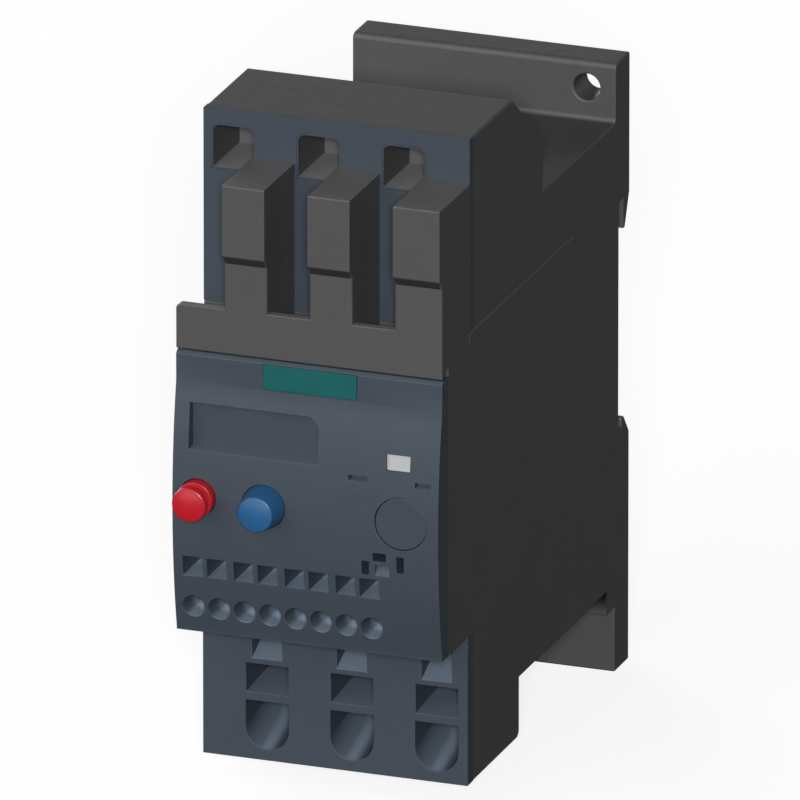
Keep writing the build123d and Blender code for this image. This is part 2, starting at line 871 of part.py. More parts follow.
# Stop button: head, neck, base, stem and a flange that keeps it behind the cover
stop_front_y = crown_y - stop_proud
stop_neck_y = stop_front_y + stop_head_thickness
stop_base_y = crown_y - stop_base_proud
head_rear_y = cover_back_y - button_travel - 0.2
stem_end_y = mechanism_back_y + 2.0
flange_front_y = cover_inner_y + guide_gap
with BuildPart() as stop_button:
    rod_y(stop_x, stop_z, stop_front_y, stop_neck_y, stop_head_radius)
    chamfer(stop_button.edges().filter_by(GeomType.CIRCLE).sort_by(Axis.Y)[0], length=0.5)
    rod_y(stop_x, stop_z, stop_neck_y, stop_base_y, stop_neck_radius)
    rod_y(stop_x, stop_z, stop_base_y, head_rear_y, stop_radius)
    rod_y(stop_x, stop_z, head_rear_y, stem_end_y, stem_radius)
    block(
        (stop_x - stop_radius + flange_trim, flange_front_y, stop_z - stop_radius - flange_rim),
        (
            stop_x + stop_radius + flange_rim,
            flange_front_y + flange_thickness,
            stop_z + stop_radius + flange_rim,
        ),
    )
save(stop_button, "stop_button")

# Reset plunger and the blue cap that turns on it
cap_front_y = crown_y - reset_proud
cap_rear_y = flange_front_y - seat_gap
pivot_radius = 1.5
cap_bore_depth = 5.0
with BuildPart() as reset_plunger:
    rod_y(reset_x, reset_z, cap_rear_y - cap_bore_depth + seat_gap, flange_front_y, pivot_radius)
    rod_y(reset_x, reset_z, flange_front_y, flange_front_y + flange_thickness, reset_radius + 0.8)
    rod_y(reset_x, reset_z, flange_front_y + flange_thickness, stem_end_y, stem_radius)
save(reset_plunger, "reset_plunger")

with BuildPart() as reset_button:
    rod_y(reset_x, reset_z, crown_y - 0.3, cap_rear_y, reset_radius)
    cone_y(reset_x, reset_z, cap_front_y, crown_y - 0.3, reset_front_radius, reset_radius)
    fillet(reset_button.edges().filter_by(GeomType.CIRCLE).sort_by(Axis.Y)[0], radius=0.3)
    rod_y(
        reset_x,
        reset_z,
        cap_rear_y - cap_bore_depth,
        cap_rear_y + 1,
        pivot_radius + running_gap,
        Mode.SUBTRACT,
    )
save(reset_button, "reset_button")

# Return springs of the two buttons
button_wire = 0.45
button_coil_radius = 2.25
for name, x, z in (("stop_spring", stop_x, stop_z), ("reset_spring", reset_x, reset_z)):
    spring_front_y = flange_front_y + flange_thickness + 0.1
    spring_rear_y = mechanism_front_y - 0.1
    with BuildPart() as button_spring:
        start = (x, spring_front_y, z)
        length = spring_rear_y - spring_front_y
        add(coil(start, (0, 1, 0), length, button_coil_radius, button_wire, 5))
    save(button_spring, name)

# Setting dial with its shaft, and the cam that is pressed on behind the mechanism plate
dial_front_y = crown_y + dial_setback
dial_shaft_radius = 2.0
dial_rear_y = cover_inner_y - 1.0
cam_front_y = mechanism_back_y + seat_gap
cam_thickness = 2.5
with BuildPart() as setting_dial:
    rod_y(dial_x, dial_z, dial_front_y, dial_rear_y, dial_radius)
    rod_y(dial_x, dial_z, dial_rear_y, cam_front_y + cam_thickness, dial_shaft_radius)
save(setting_dial, "setting_dial")

cam_radius = 3.4
cam_offset = 0.8
with BuildPart() as dial_cam:
    rod_y(dial_x - cam_offset, dial_z, cam_front_y, cam_front_y + cam_thickness, cam_radius)
    rod_y(
        dial_x,
        dial_z,
        cam_front_y - 1,
        cam_front_y + cam_thickness + 1,
        dial_shaft_radius,
        Mode.SUBTRACT,
    )
save(dial_cam, "dial_cam")

# Mechanism plate: guides the stems, backs the springs and carries the lever's pivot
plate_top_z = 22.0
plate_bottom_z = cover_bottom_z + wall + seat_gap
lever_x = half_width - 6.5
lever_y = -58.0
lug_low_z = 9.0
lug_high_z = 19.0
lug_thickness = 2.0
lug_half = 2.5
with BuildPart() as mechanism_plate:
    block(
        (-inner_x + seat_gap, mechanism_front_y, plate_bottom_z),
        (inner_x - seat_gap, mechanism_back_y, plate_top_z),
    )
    for z in (lug_low_z, lug_high_z):
        block(
            (lever_x - lug_half, mechanism_back_y, z),
            (lever_x + lug_half, lever_y + lug_half, z + lug_thickness),
        )
    block(
        (window_low[0] - 1.5, slide_back_y + slide_rest_gap, window_low[1]),
        (window_high[0] + 1.9, mechanism_front_y, window_high[1]),
    )
    with Locations((lever_x, lever_y, (lug_low_z + lug_high_z + lug_thickness) / 2)):
        Cylinder(screw_radius + 0.02, lug_high_z - lug_low_z + 2 * lug_thickness, mode=Mode.SUBTRACT)
    for x, z in ((stop_x, stop_z), (reset_x, reset_z)):
        rod_y(x, z, mechanism_front_y - 1, mechanism_back_y + 1, stem_radius + running_gap, Mode.SUBTRACT)
    rod_y(
        dial_x,
        dial_z,
        mechanism_front_y - 1,
        mechanism_back_y + 1,
        dial_shaft_radius + running_gap,
        Mode.SUBTRACT,
    )
    for x, z in screw_places:
        rod_y(x, z, mechanism_front_y - 1, mechanism_back_y + 1, screw_radius + running_gap, Mode.SUBTRACT)
save(mechanism_plate, "mechanism_plate")

# Screws of the mechanism plate
with BuildPart() as mechanism_screws:
    for x, z in screw_places:
        rod_y(x, z, mechanism_front_y - 1.4, mechanism_front_y, screw_radius * 2)
        rod_y(x, z, mechanism_front_y, mechanism_back_y + screw_length - wall - 0.5, screw_radius)
        block(
            (x - 1.6, mechanism_front_y - 2, z - 0.25),
            (x + 1.6, mechanism_front_y - 0.8, z + 0.25),
            Mode.SUBTRACT,
        )
save(mechanism_screws, "mechanism_screws")

# Pivot pin of the trip lever
with BuildPart() as lever_pin:
    with Locations((lever_x, lever_y, (lug_low_z + lug_high_z + lug_thickness) / 2)):
        Cylinder(screw_radius, lug_high_z - lug_low_z + lug_thickness)
save(lever_pin, "lever_pin")

# Trip lever with its compensating strip
lever_low_z = lug_low_z + lug_thickness + seat_gap
lever_high_z = lug_high_z - seat_gap
lever_mid_z = (lever_low_z + lever_high_z) / 2
lever_half = 0.9
lever_half_height = 2.0
hub_radius = 2.2
lever_tail = 4.0
strip_start = 2.4
strip_overhang = 1.5
strip_thickness = 0.6
with BuildPart() as trip_lever:
    with Locations((lever_x, lever_y, lever_mid_z)):
        Cylinder(hub_radius, lever_high_z - lever_low_z)
    block(
        (lever_x - lever_half, lever_y - lever_arm, lever_mid_z - lever_half_height),
        (lever_x + lever_half, lever_y, lever_mid_z + lever_half_height),
    )
    block(
        (lever_x - lever_half, lever_y, lever_mid_z - lever_half_height),
        (lever_x + lever_half, lever_y + lever_tail, lever_mid_z + lever_half_height),
    )
    with Locations((lever_x, lever_y, lever_mid_z)):
        Cylinder(screw_radius + running_gap, lug_high_z - lug_low_z, mode=Mode.SUBTRACT)
save(trip_lever, "trip_lever")

with BuildPart() as compensation_strip:
    block(
        (lever_x + lever_half, lever_y + strip_start, lever_mid_z - lever_half_height),
        (
            lever_x + lever_half + strip_thickness,
            lever_y + lever_arm + strip_overhang,
            lever_mid_z + lever_half_height,
        ),
    )
save(compensation_strip, "compensation_strip")

# Contact carriage with its two moving bridges
carriage_y = lever_y - lever_arm
carriage_half = 1.5
bridge_half = 7.0
break_x = 4.0
make_x = -6.0
strip_gauge = 0.5
core_half = 0.5
rivet_radius = 1.0
rivet_height = 0.7
rivet_margin = 1.3
with BuildPart() as contact_carriage:
    block(
        (make_x - strip_gauge, carriage_y - carriage_half, lever_mid_z - carriage_half),
        (lever_x - lever_half - seat_gap, carriage_y + carriage_half, lever_mid_z + carriage_half),
    )
    for x in (break_x, make_x):
        block(
            (x, carriage_y - carriage_half - 1, lever_mid_z - carriage_half - 1),
            (x + strip_gauge, carriage_y + carriage_half + 1, lever_mid_z + carriage_half + 1),
            Mode.SUBTRACT,
        )
        block(
            (x, carriage_y - core_half, lever_mid_z - carriage_half),
            (x + strip_gauge, carriage_y + core_half, lever_mid_z + carriage_half),
        )
save(contact_carriage, "contact_carriage")

with BuildPart() as moving_contacts:
    for x, facing in ((break_x, 1), (make_x, -1)):
        block(
            (x, carriage_y - carriage_half, lever_mid_z - bridge_half),
            (x + strip_gauge, carriage_y + carriage_half, lever_mid_z + bridge_half),
        )
        block(
            (x - 1, carriage_y - core_half, lever_mid_z - carriage_half),
            (x + strip_gauge + 1, carriage_y + core_half, lever_mid_z + carriage_half),
            Mode.SUBTRACT,
        )
        for end in (-1, 1):
            rivet_x = x + strip_gauge / 2 + facing * (strip_gauge + rivet_height) / 2
            place = (rivet_x, carriage_y, lever_mid_z + end * (bridge_half - rivet_margin))
            with Locations(Location(place, (0, 90, 0))):
                Cylinder(rivet_radius, rivet_height)
save(moving_contacts, "moving_contacts")

# Fixed contacts on the mechanism plate
fixed_thickness = 0.8
fixed_half = 1.5
with BuildPart() as fixed_contacts:
    for x, facing, opening in ((break_x, 1, 0.0), (make_x, -1, trip_travel)):
        for end in (-1, 1):
            tip_reach = strip_gauge / 2 + rivet_height + running_gap + opening
            tip_x = x + strip_gauge / 2 + facing * tip_reach
            z = lever_mid_z + end * (bridge_half - rivet_margin)
            far_x = tip_x + facing * fixed_thickness
            block(
                (min(tip_x, far_x), mechanism_back_y, z - fixed_half),
                (max(tip_x, far_x), carriage_y + carriage_half, z + fixed_half),
            )
save(fixed_contacts, "fixed_contacts")

# Auxiliary clamps: a small cage for each funnel pair
aux_clamp_front_y = funnel_rear_y + seat_gap
aux_clamp_rear_y = mechanism_front_y - seat_gap
aux_clamp_low_z = plate_bottom_z + 0.5
aux_clamp_high_z = square_funnel_z + square_funnel_height
aux_strip = 0.5
aux_half = 1.4
aux_window_half = round_throat_radius
with BuildPart() as aux_clamps:
    for x in aux_columns:
        block(
            (x - aux_half, aux_clamp_front_y, aux_clamp_low_z),
            (x + aux_half, aux_clamp_rear_y, aux_clamp_high_z),
        )
        block(
            (x - aux_half - 1, aux_clamp_front_y + aux_strip, aux_clamp_low_z + aux_strip),
            (x + aux_half + 1, aux_clamp_rear_y - aux_strip, aux_clamp_high_z - aux_strip),
            Mode.SUBTRACT,
        )
        block(
            (x - aux_window_half, aux_clamp_front_y - 1, round_funnel_z - aux_window_half),
            (x + aux_window_half, aux_clamp_front_y + 2 * aux_strip, round_funnel_z + aux_window_half),
            Mode.SUBTRACT,
        )
save(aux_clamps, "aux_clamps")

# Bimetals and their heaters
bimetal_thickness = 1.0
bimetal_depth = 6.0
bimetal_y = (slide_front_y + slide_rear_y) / 2
bimetal_low_z = -26.0
bimetal_high_z = 17.4
with BuildPart() as bimetals:
    for x in poles:
        block(
            (x - bimetal_thickness / 2, bimetal_y - bimetal_depth / 2, bimetal_low_z),
            (x + bimetal_thickness / 2, bimetal_y + bimetal_depth / 2, bimetal_high_z),
        )
save(bimetals, "bimetals")

winding_count = 9
winding_pitch = 2.6
winding_low_z = -18.0
winding_gap = 0.3
winding_thickness = 0.7
winding_height = 1.6
winding_top_z = winding_low_z + (winding_count - 1) * winding_pitch + winding_height
heater_rear_y = bimetal_y + bimetal_depth / 2 + winding_gap + winding_thickness + 0.4
with BuildPart() as heaters:
    for x in poles:
        inner_half_x = bimetal_thickness / 2 + winding_gap
        inner_half_y = bimetal_depth / 2 + winding_gap
        for i in range(winding_count):
            with BuildSketch(Plane.XY.offset(winding_low_z + i * winding_pitch)):
                with Locations((x, bimetal_y)):
                    RectangleRounded(
                        2 * (inner_half_x + winding_thickness),
                        2 * (inner_half_y + winding_thickness),
                        0.6,
                    )
                    Rectangle(2 * inner_half_x, 2 * inner_half_y, mode=Mode.SUBTRACT)
            extrude(amount=winding_height)
        block(
            (x - 0.7, bimetal_y + inner_half_y + winding_thickness - 0.2, winding_low_z),
            (x + 0.7, heater_rear_y, winding_top_z),
        )
save(heaters, "heaters")

# Slides of the differential pair, with a slot round each bimetal tip
slide_thickness = 1.2
slide_margin_x = 2.2
slide_half_width = inner_x - slide_margin_x
tip_gap = 0.3


def slide_plate(low_z, nose):
    """One slide, cut free of the bimetal tips over its travel, as its own solid."""
    with BuildPart() as plate:
        block(
            (-slide_half_width, slide_front_y, low_z),
            (slide_half_width, slide_rear_y, low_z + slide_thickness),
        )
        for x in poles:
            block(
                (
                    x - bimetal_thickness / 2 - tip_gap - trip_travel,
                    bimetal_y - bimetal_depth / 2 - tip_gap,
                    low_z - 1,
                ),
                (
                    x + bimetal_thickness / 2 + tip_gap,
                    bimetal_y + bimetal_depth / 2 + tip_gap,
                    low_z + slide_thickness + 1,
                ),
                Mode.SUBTRACT,
            )
        if nose:
            block(
                (lever_x - 2.5, lever_y + lever_arm - 1.0, low_z),
                (lever_x + 0.9 - seat_gap, slide_front_y + 1.0, low_z + slide_thickness),
            )
    return plate


trip_slide = slide_plate(guide_rib_z + seat_gap, True)
save(trip_slide, "trip_slide")
return_slide = slide_plate(guide_rib_z + slide_thickness + 2 * seat_gap, False)
save(return_slide, "return_slide")

# Supply bars from the pins to the heaters
supply_rear_y = heater_rear_y + 4.0
supply_low_z = -12.0
with BuildPart() as supply_busbars:
    for x in arms:
        bar_points = [
            (pin_front_y, supply_top_z),
            (supply_rear_y, supply_top_z),
            (supply_rear_y, supply_low_z),
            (heater_rear_y, supply_low_z),
            (heater_rear_y, supply_low_z + bar_thickness),
            (supply_rear_y - bar_thickness, supply_low_z + bar_thickness),
            (supply_rear_y - bar_thickness, supply_top_z - bar_thickness),
            (pin_front_y, supply_top_z - bar_thickness),
        ]
        extrude(side_outline(x - pin_half, bar_points), amount=bar_width)
save(supply_busbars, "supply_busbars")

# Load bars from the bimetals to the lower clamps
load_z = relay_bottom_z + wall + 3.0
load_leg_y = clamp_back_y - 1.6
load_bottom_z = pocket_bottom_z + 0.8
with BuildPart() as load_busbars:
    for x in poles:
        load_points = [
            (load_leg_y, load_bottom_z),
            (load_leg_y, load_z),
            (bimetal_y - bimetal_depth / 2, load_z),
            (bimetal_y - bimetal_depth / 2, bimetal_low_z),
            (bimetal_y + bimetal_depth / 2, bimetal_low_z),
            (bimetal_y + bimetal_depth / 2, load_z - bar_thickness),
            (load_leg_y + bar_thickness, load_z - bar_thickness),
            (load_leg_y + bar_thickness, load_bottom_z),
        ]
        extrude(side_outline(x - pin_half, load_points), amount=bar_width)
save(load_busbars, "load_busbars")

# Lower clamps: cage springs round the load conductors
cage_front_y = clamp_front_y + 0.4
cage_rear_y = load_leg_y - 0.2
cage_low_z = pocket_bottom_z + 0.3
cage_head = 3.5
cage_high_z = relay_bottom_z + wall + cage_head
cage_half = 2.6
with BuildPart() as lower_clamps:
    for x in poles:
        with BuildSketch(Plane.YZ.offset(x - cage_half)):
            with Locations(((cage_front_y + cage_rear_y) / 2, (cage_low_z + cage_high_z) / 2)):
                RectangleRounded(cage_rear_y - cage_front_y, cage_high_z - cage_low_z, 1.2)
                RectangleRounded(
                    cage_rear_y - cage_front_y - 2 * strip,
                    cage_high_z - cage_low_z - 2 * strip,
                    0.6,
                    mode=Mode.SUBTRACT,
                )
        extrude(amount=2 * cage_half)
        block(
            (x - wire_hole_radius, cage_front_y - 1, wire_hole_z - wire_hole_radius),
            (x + wire_hole_radius, cage_front_y + strip + 0.5, wire_hole_z + wire_hole_radius),
            Mode.SUBTRACT,
        )
save(lower_clamps, "lower_clamps")
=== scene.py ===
"""Thermal overload relay on its terminal support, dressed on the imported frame.

Each operator finishes one piece or one group of like pieces. Sizes are in metres, in the frame's own
axes: X to the right, Y to the rear and Z up.
"""

import math

import bmesh
import bpy
from mathutils import Matrix, Vector


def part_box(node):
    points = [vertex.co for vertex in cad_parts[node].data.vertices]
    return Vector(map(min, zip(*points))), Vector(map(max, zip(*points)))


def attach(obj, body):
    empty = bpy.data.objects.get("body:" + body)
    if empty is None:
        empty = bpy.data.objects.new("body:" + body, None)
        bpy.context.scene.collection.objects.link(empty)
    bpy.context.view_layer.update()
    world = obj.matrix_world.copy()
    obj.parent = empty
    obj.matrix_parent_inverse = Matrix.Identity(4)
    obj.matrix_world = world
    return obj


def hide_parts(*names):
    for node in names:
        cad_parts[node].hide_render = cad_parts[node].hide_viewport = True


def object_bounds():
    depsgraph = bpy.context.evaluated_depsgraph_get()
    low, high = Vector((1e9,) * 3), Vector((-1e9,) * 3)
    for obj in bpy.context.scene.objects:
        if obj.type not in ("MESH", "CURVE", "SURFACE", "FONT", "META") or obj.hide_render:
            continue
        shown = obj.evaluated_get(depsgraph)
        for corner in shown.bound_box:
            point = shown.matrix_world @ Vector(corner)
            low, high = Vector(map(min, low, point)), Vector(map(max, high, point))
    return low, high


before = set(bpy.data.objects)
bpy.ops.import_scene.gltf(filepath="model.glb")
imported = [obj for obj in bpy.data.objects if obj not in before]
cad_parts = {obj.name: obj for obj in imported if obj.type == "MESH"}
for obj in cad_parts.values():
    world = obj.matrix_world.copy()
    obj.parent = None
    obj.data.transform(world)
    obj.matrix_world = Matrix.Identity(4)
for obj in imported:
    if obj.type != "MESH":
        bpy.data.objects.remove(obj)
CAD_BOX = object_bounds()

bl_info = {
    "name": "Thermal Overload Relay",
    "version": (1, 0, 0),
    "blender": (4, 5, 0),
    "location": "View3D > Sidebar > Relay",
    "description": "Finishes the mouldings, buttons and terminals of a thermal overload relay",
    "category": "Object",
}

MM = 0.001

# Angles in degrees: the least between two faces that gets a radius, and the least that stays a sharp line
RADIUSED_ANGLE = 35
SHARP_ANGLE = 24
BUTTON_SHARP_ANGLE = 35
FLAT_ANGLE = 0.8

# Distances at which vertices are merged: in a carried-over node, and in a turned profile
NODE_MERGE = 0.002 * MM
PROFILE_MERGE = 0.001 * MM

# A face whose normal points this far to the rear belongs to no opening's visible inside
REAR_FACING = 0.5

# Places of the poles, line entries, small funnels, guide slots and label recess along X
POLES = [x * MM for x in (-11.55, 2.85, 17.25)]
ENTRIES = [x * MM for x in (-17.35, -2.95, 11.45)]
FUNNELS = [(-19.3 + 4.31 * i) * MM for i in range(8)]
GUIDE_SLOTS = [x * MM for x in (8.75, 19.75)]
LABEL_RECESS = [-9.0 * MM]

# Boxes round the openings that are finished apart from the rest of their piece, most of them with painted
# light on their insides: the places along X, and in mm half the width, the front lower corner and the
# rear upper corner as (y, z)
ARCH_EDGE_BOXES = (ENTRIES, 4.0, (-76.0, 52.0), (-73.0, 60.1))
ARCH_RIM_BOXES = (ENTRIES, 3.9, (-75.85, 52.1), (-75.75, 60.0))
CHUTE_BOXES = (ENTRIES, 3.55, (-75.75, 52.4), (-63.4, 59.7))
RAMP_BOXES = (POLES, 2.65, (-76.4, -29.9), (-63.0, -22.5))
SQUARE_BOXES = (POLES, 3.65, (-76.4, -35.7), (-63.0, -30.6))
CABLE_BOXES = (POLES, 3.7, (-76.4, -45.3), (-63.0, -36.9))
SQUARE_FUNNEL_BOXES = (FUNNELS, 1.95, (-88.9, -12.0), (-82.0, -8.4))
ROUND_FUNNEL_BOXES = (FUNNELS, 1.95, (-88.9, -19.2), (-82.0, -15.2))
GUIDE_SLOT_BOXES = (GUIDE_SLOTS, 1.6, (-89.9, 7.7), (-88.4, 8.7))
LABEL_RECESS_BOXES = (LABEL_RECESS, 11.0, (-89.1, 9.4), (-87.5, 17.4))

# Planes in mm where the photo shows no rounded edge, most of them seams between mouldings
Y = 1
Z = 2
SEAMS = {
    "support_base": ((Y, -75.8), (Y, -73.8), (Y, -26.7), (Z, 29.7)),
    "support_front": ((Y, -73.8), (Z, 29.7), (Z, 62.2)),
    "relay_housing": ((Y, -85.5), (Y, -73.9), (Y, -26.73), (Z, 27.0)),
    "pin_shroud": ((Y, -75.83), (Z, 27.0)),
    "lower_front": ((Y, -73.9), (Z, -21.7)),
    "front_cover": ((Y, -85.5),),
}
SEAM_REACH = 0.04 * MM

# Button axes in X and Z, and the stations of their heads along Y
STOP_AXIS = (-18.2 * MM, 1.8 * MM)
RESET_AXIS = (-7.1 * MM, 1.5 * MM)
STOP_FRONT_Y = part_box("stop_button")[0].y
RESET_FRONT_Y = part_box("reset_button")[0].y
RESET_REAR_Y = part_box("reset_button")[1].y
COVER_FRONT_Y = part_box("front_cover")[0].y
BUTTON_SEGMENTS = 48

# Where each light comes from, and how wide it is in degrees
FRONT_LIGHT = ((0.321, -0.883, 0.342), 8.0)
KEY_LIGHT = ((-0.40, -0.80, 0.45), 60.0)
REAR_LIGHT = ((-0.72, 0.68, 0.12), 40.0)

# The point that the camera looks at, the width of its sensor in mm, half the floor's side, and the gap
# between the floor and the relay
VIEW_TARGET = Vector((0.855 * MM, -48.56 * MM, 6.33 * MM))
SENSOR_WIDTH = 36.0
FLOOR_HALF = 6.0
FLOOR_GAP = 0.05 * MM


class RelayShapeSettings(bpy.types.PropertyGroup):
    """Edge radii of the mouldings and buttons."""

    case_edge: bpy.props.FloatProperty(
        name="Case Edge",
        description="Radius on the outer edges of the dark case mouldings",
        default=0.3 * MM,
        min=0.05 * MM,
        max=0.8 * MM,
        precision=5,
        unit="LENGTH",
    )
    shroud_edge: bpy.props.FloatProperty(
        name="Shroud Edge",
        description="Radius on the edges of the pin shroud",
        default=0.2 * MM,
        min=0.05 * MM,
        max=0.5 * MM,
        precision=5,
        unit="LENGTH",
    )
    layer_edge: bpy.props.FloatProperty(
        name="Terminal Front Edge",
        description="Radius on the edges of the two terminal fronts",
        default=0.1 * MM,
        min=0.05 * MM,
        max=0.3 * MM,
        precision=5,
        unit="LENGTH",
    )
    cover_edge: bpy.props.FloatProperty(
        name="Cover Edge",
        description="Radius on the edges of the front cover and its openings",
        default=0.1 * MM,
        min=0.05 * MM,
        max=0.15 * MM,
        precision=5,
        unit="LENGTH",
    )
    trim_edge: bpy.props.FloatProperty(
        name="Trim Edge",
        description="Radius on the edges of the tile, dial and slide",
        default=0.1 * MM,
        min=0.02 * MM,
        max=0.2 * MM,
        precision=5,
        unit="LENGTH",
    )
    button_dome: bpy.props.FloatProperty(
        name="Button Dome",
        description="Height of the dome on a button's face",
        default=0.45 * MM,
        min=0.0,
        max=0.6 * MM,
        precision=5,
        unit="LENGTH",
    )


class RelayFinishSettings(bpy.types.PropertyGroup):
    """Colours of the plastics and metals."""

    dark_case: bpy.props.FloatVectorProperty(
        name="Dark Case",
        description="Colour of the support, the relay case and the pin shroud",
        default=(0.068, 0.068, 0.068),
        min=0.0,
        max=1.0,
        subtype="COLOR",
    )
    blue_grey_case: bpy.props.FloatVectorProperty(
        name="Blue-Grey Case",
        description="Colour of the cover and the terminal fronts",
        default=(0.0425, 0.0542, 0.0705),
        min=0.0,
        max=1.0,
        subtype="COLOR",
    )
    teal: bpy.props.FloatVectorProperty(
        name="Tile",
        description="Colour of the bare tile in the header",
        default=(0.0075, 0.092, 0.090),
        min=0.0,
        max=1.0,
        subtype="COLOR",
    )
    red: bpy.props.FloatVectorProperty(
        name="Stop Button",
        description="Colour of the stop button",
        default=(0.43, 0.008, 0.016),
        min=0.0,
        max=1.0,
        subtype="COLOR",
    )
    blue: bpy.props.FloatVectorProperty(
        name="Reset Button",
        description="Colour of the reset button",
        default=(0.0175, 0.092, 0.228),
        min=0.0,
        max=1.0,
        subtype="COLOR",
    )
    white: bpy.props.FloatVectorProperty(
        name="Indicator",
        description="Colour of the test and indicator slide",
        default=(0.435, 0.445, 0.455),
        min=0.0,
        max=1.0,
        subtype="COLOR",
    )
    inner: bpy.props.FloatVectorProperty(
        name="Inner Plastic",
        description="Colour of the mechanism's mouldings",
        default=(0.30, 0.28, 0.24),
        min=0.0,
        max=1.0,
        subtype="COLOR",
    )
    copper: bpy.props.FloatVectorProperty(
        name="Copper",
        description="Colour of the bars, pins and contacts",
        default=(0.70, 0.38, 0.24),
        min=0.0,
        max=1.0,
        subtype="COLOR",
    )
    steel: bpy.props.FloatVectorProperty(
        name="Spring Steel",
        description="Colour of the clamps, springs and screws",
        default=(0.52, 0.52, 0.53),
        min=0.0,
        max=1.0,
        subtype="COLOR",
    )
    bimetal: bpy.props.FloatVectorProperty(
        name="Bimetal",
        description="Colour of the bimetal strips and their windings",
        default=(0.55, 0.50, 0.43),
        min=0.0,
        max=1.0,
        subtype="COLOR",
    )


class RelayStageSettings(bpy.types.PropertyGroup):
    """Camera, floor and lights."""

    azimuth: bpy.props.FloatProperty(
        name="Azimuth",
        description="Angle of the camera round the relay, from straight ahead",
        default=math.radians(20.0),
        subtype="ANGLE",
    )
    elevation: bpy.props.FloatProperty(
        name="Elevation",
        description="Angle of the camera above the horizon",
        default=math.radians(20.0),
        subtype="ANGLE",
    )
    lens: bpy.props.FloatProperty(
        name="Lens",
        description="Focal length; it is long, because the view is close to a parallel one",
        default=1500.0,
        min=50.0,
        unit="CAMERA",
    )
    field: bpy.props.FloatProperty(
        name="Field",
        description="Width of the view at the relay",
        default=127.9 * MM,
        min=0.01,
        unit="LENGTH",
    )
    front: bpy.props.FloatProperty(
        name="Front Light",
        description="Strength of the light from beside the camera, which reaches into the openings",
        default=2.9,
        min=0.0,
    )
    key: bpy.props.FloatProperty(
        name="Key Light",
        description="Strength of the soft light from the upper left front",
        default=1.15,
        min=0.0,
    )
    rear: bpy.props.FloatProperty(
        name="Rear Light",
        description="Strength of the soft light from the left rear",
        default=2.2,
        min=0.0,
    )
    ambient: bpy.props.FloatProperty(
        name="Ambient",
        description="Level of the even light from all round",
        default=0.06,
        min=0.0,
        max=1.0,
    )
    glossy_share: bpy.props.FloatProperty(
        name="Background In Gloss",
        description="Share of the white background that reflections show",
        default=0.12,
        min=0.0,
        max=1.0,
        subtype="FACTOR",
    )
    floor_white: bpy.props.FloatProperty(
        name="Floor White",
        description="Share of the floor's paleness that shadows don't reach",
        default=0.80,
        min=0.0,
        max=1.0,
        subtype="FACTOR",
    )


def node_tree(material):
    """Empties a material's node tree and returns its nodes, links, shader and output."""
    material.use_nodes = True
    nodes = material.node_tree.nodes
    links = material.node_tree.links
    nodes.clear()
    output = nodes.new("ShaderNodeOutputMaterial")
    shader = nodes.new("ShaderNodeBsdfPrincipled")
    links.new(shader.outputs["BSDF"], output.inputs["Surface"])
    return nodes, links, shader, output


def noise(nodes, links, coordinates, scale, detail):
    """A noise pattern on the piece's own coordinates."""
    texture = nodes.new("ShaderNodeTexNoise")
    texture.inputs["Scale"].default_value = scale
    texture.inputs["Detail"].default_value = detail
    texture.inputs["Roughness"].default_value = 0.55
    links.new(coordinates, texture.inputs["Vector"])
    return texture


def spread(nodes, links, value, low, high):
    """Maps a noise value between 0.3 and 0.7 to a range."""
    return span(nodes, links, value, (0.3, 0.7), (low, high))


def span(nodes, links, value, source, target):
    """Maps a value from one range to another and holds it at the ends."""
    mapped = nodes.new("ShaderNodeMapRange")
    for name, number in zip(("From Min", "From Max", "To Min", "To Max"), source + target):
        mapped.inputs[name].default_value = number
    links.new(value, mapped.inputs["Value"])
    return mapped.outputs["Result"]


def combine(nodes, links, operation, first, second):
    """A maths node on an output and either another output or a number."""
    node = nodes.new("ShaderNodeMath")
    node.operation = operation
    links.new(first, node.inputs[0])
    if isinstance(second, float):
        node.inputs[1].default_value = second
    else:
        links.new(second, node.inputs[1])
    return node.outputs["Value"]


def tinted(colour, factor):
    """A colour made lighter or darker by a factor, with full opacity."""
    return tuple(min(1.0, channel * factor) for channel in colour) + (1.0,)


def edge_mask(nodes, links, radius):
    """A mask that is strongest on worn outer edges, from the bevelled normal against the true one."""
    bevel = nodes.new("ShaderNodeBevel")
    bevel.samples = 4
    bevel.inputs["Radius"].default_value = radius
    geometry = nodes.new("ShaderNodeNewGeometry")
    product = nodes.new("ShaderNodeVectorMath")
    product.operation = "DOT_PRODUCT"
    links.new(bevel.outputs["Normal"], product.inputs[0])
    links.new(geometry.outputs["Normal"], product.inputs[1])
    return span(nodes, links, product.outputs["Value"], (1.0, 0.88), (0.0, 1.0))


def painted_shading_factor(nodes, links, painted_light):
    """A factor of painted light and shade on the base colour, from a face's tilt and from how far it
    turns to the front or left.

    Its argument holds stops of (normal's Z, factor), the gain to the front and the gain to the left.
    """
    stops, front, left = painted_light
    normal = nodes.new("ShaderNodeSeparateXYZ")
    links.new(nodes.new("ShaderNodeNewGeometry").outputs["Normal"], normal.inputs["Vector"])
    total = None
    for (low_z, low), (high_z, high) in zip(stops, stops[1:]):
        rise = span(nodes, links, normal.outputs["Z"], (low_z, high_z), (0.0, high - low))
        total = rise if total is None else combine(nodes, links, "ADD", total, rise)
    total = combine(nodes, links, "ADD", total, stops[0][1])
    for side, gain in (("Y", front), ("X", left)):
        turned = span(nodes, links, normal.outputs[side], (0.0, -1.0), (1.0, 1.0 + gain))
        total = combine(nodes, links, "MULTIPLY", total, turned)
    return total


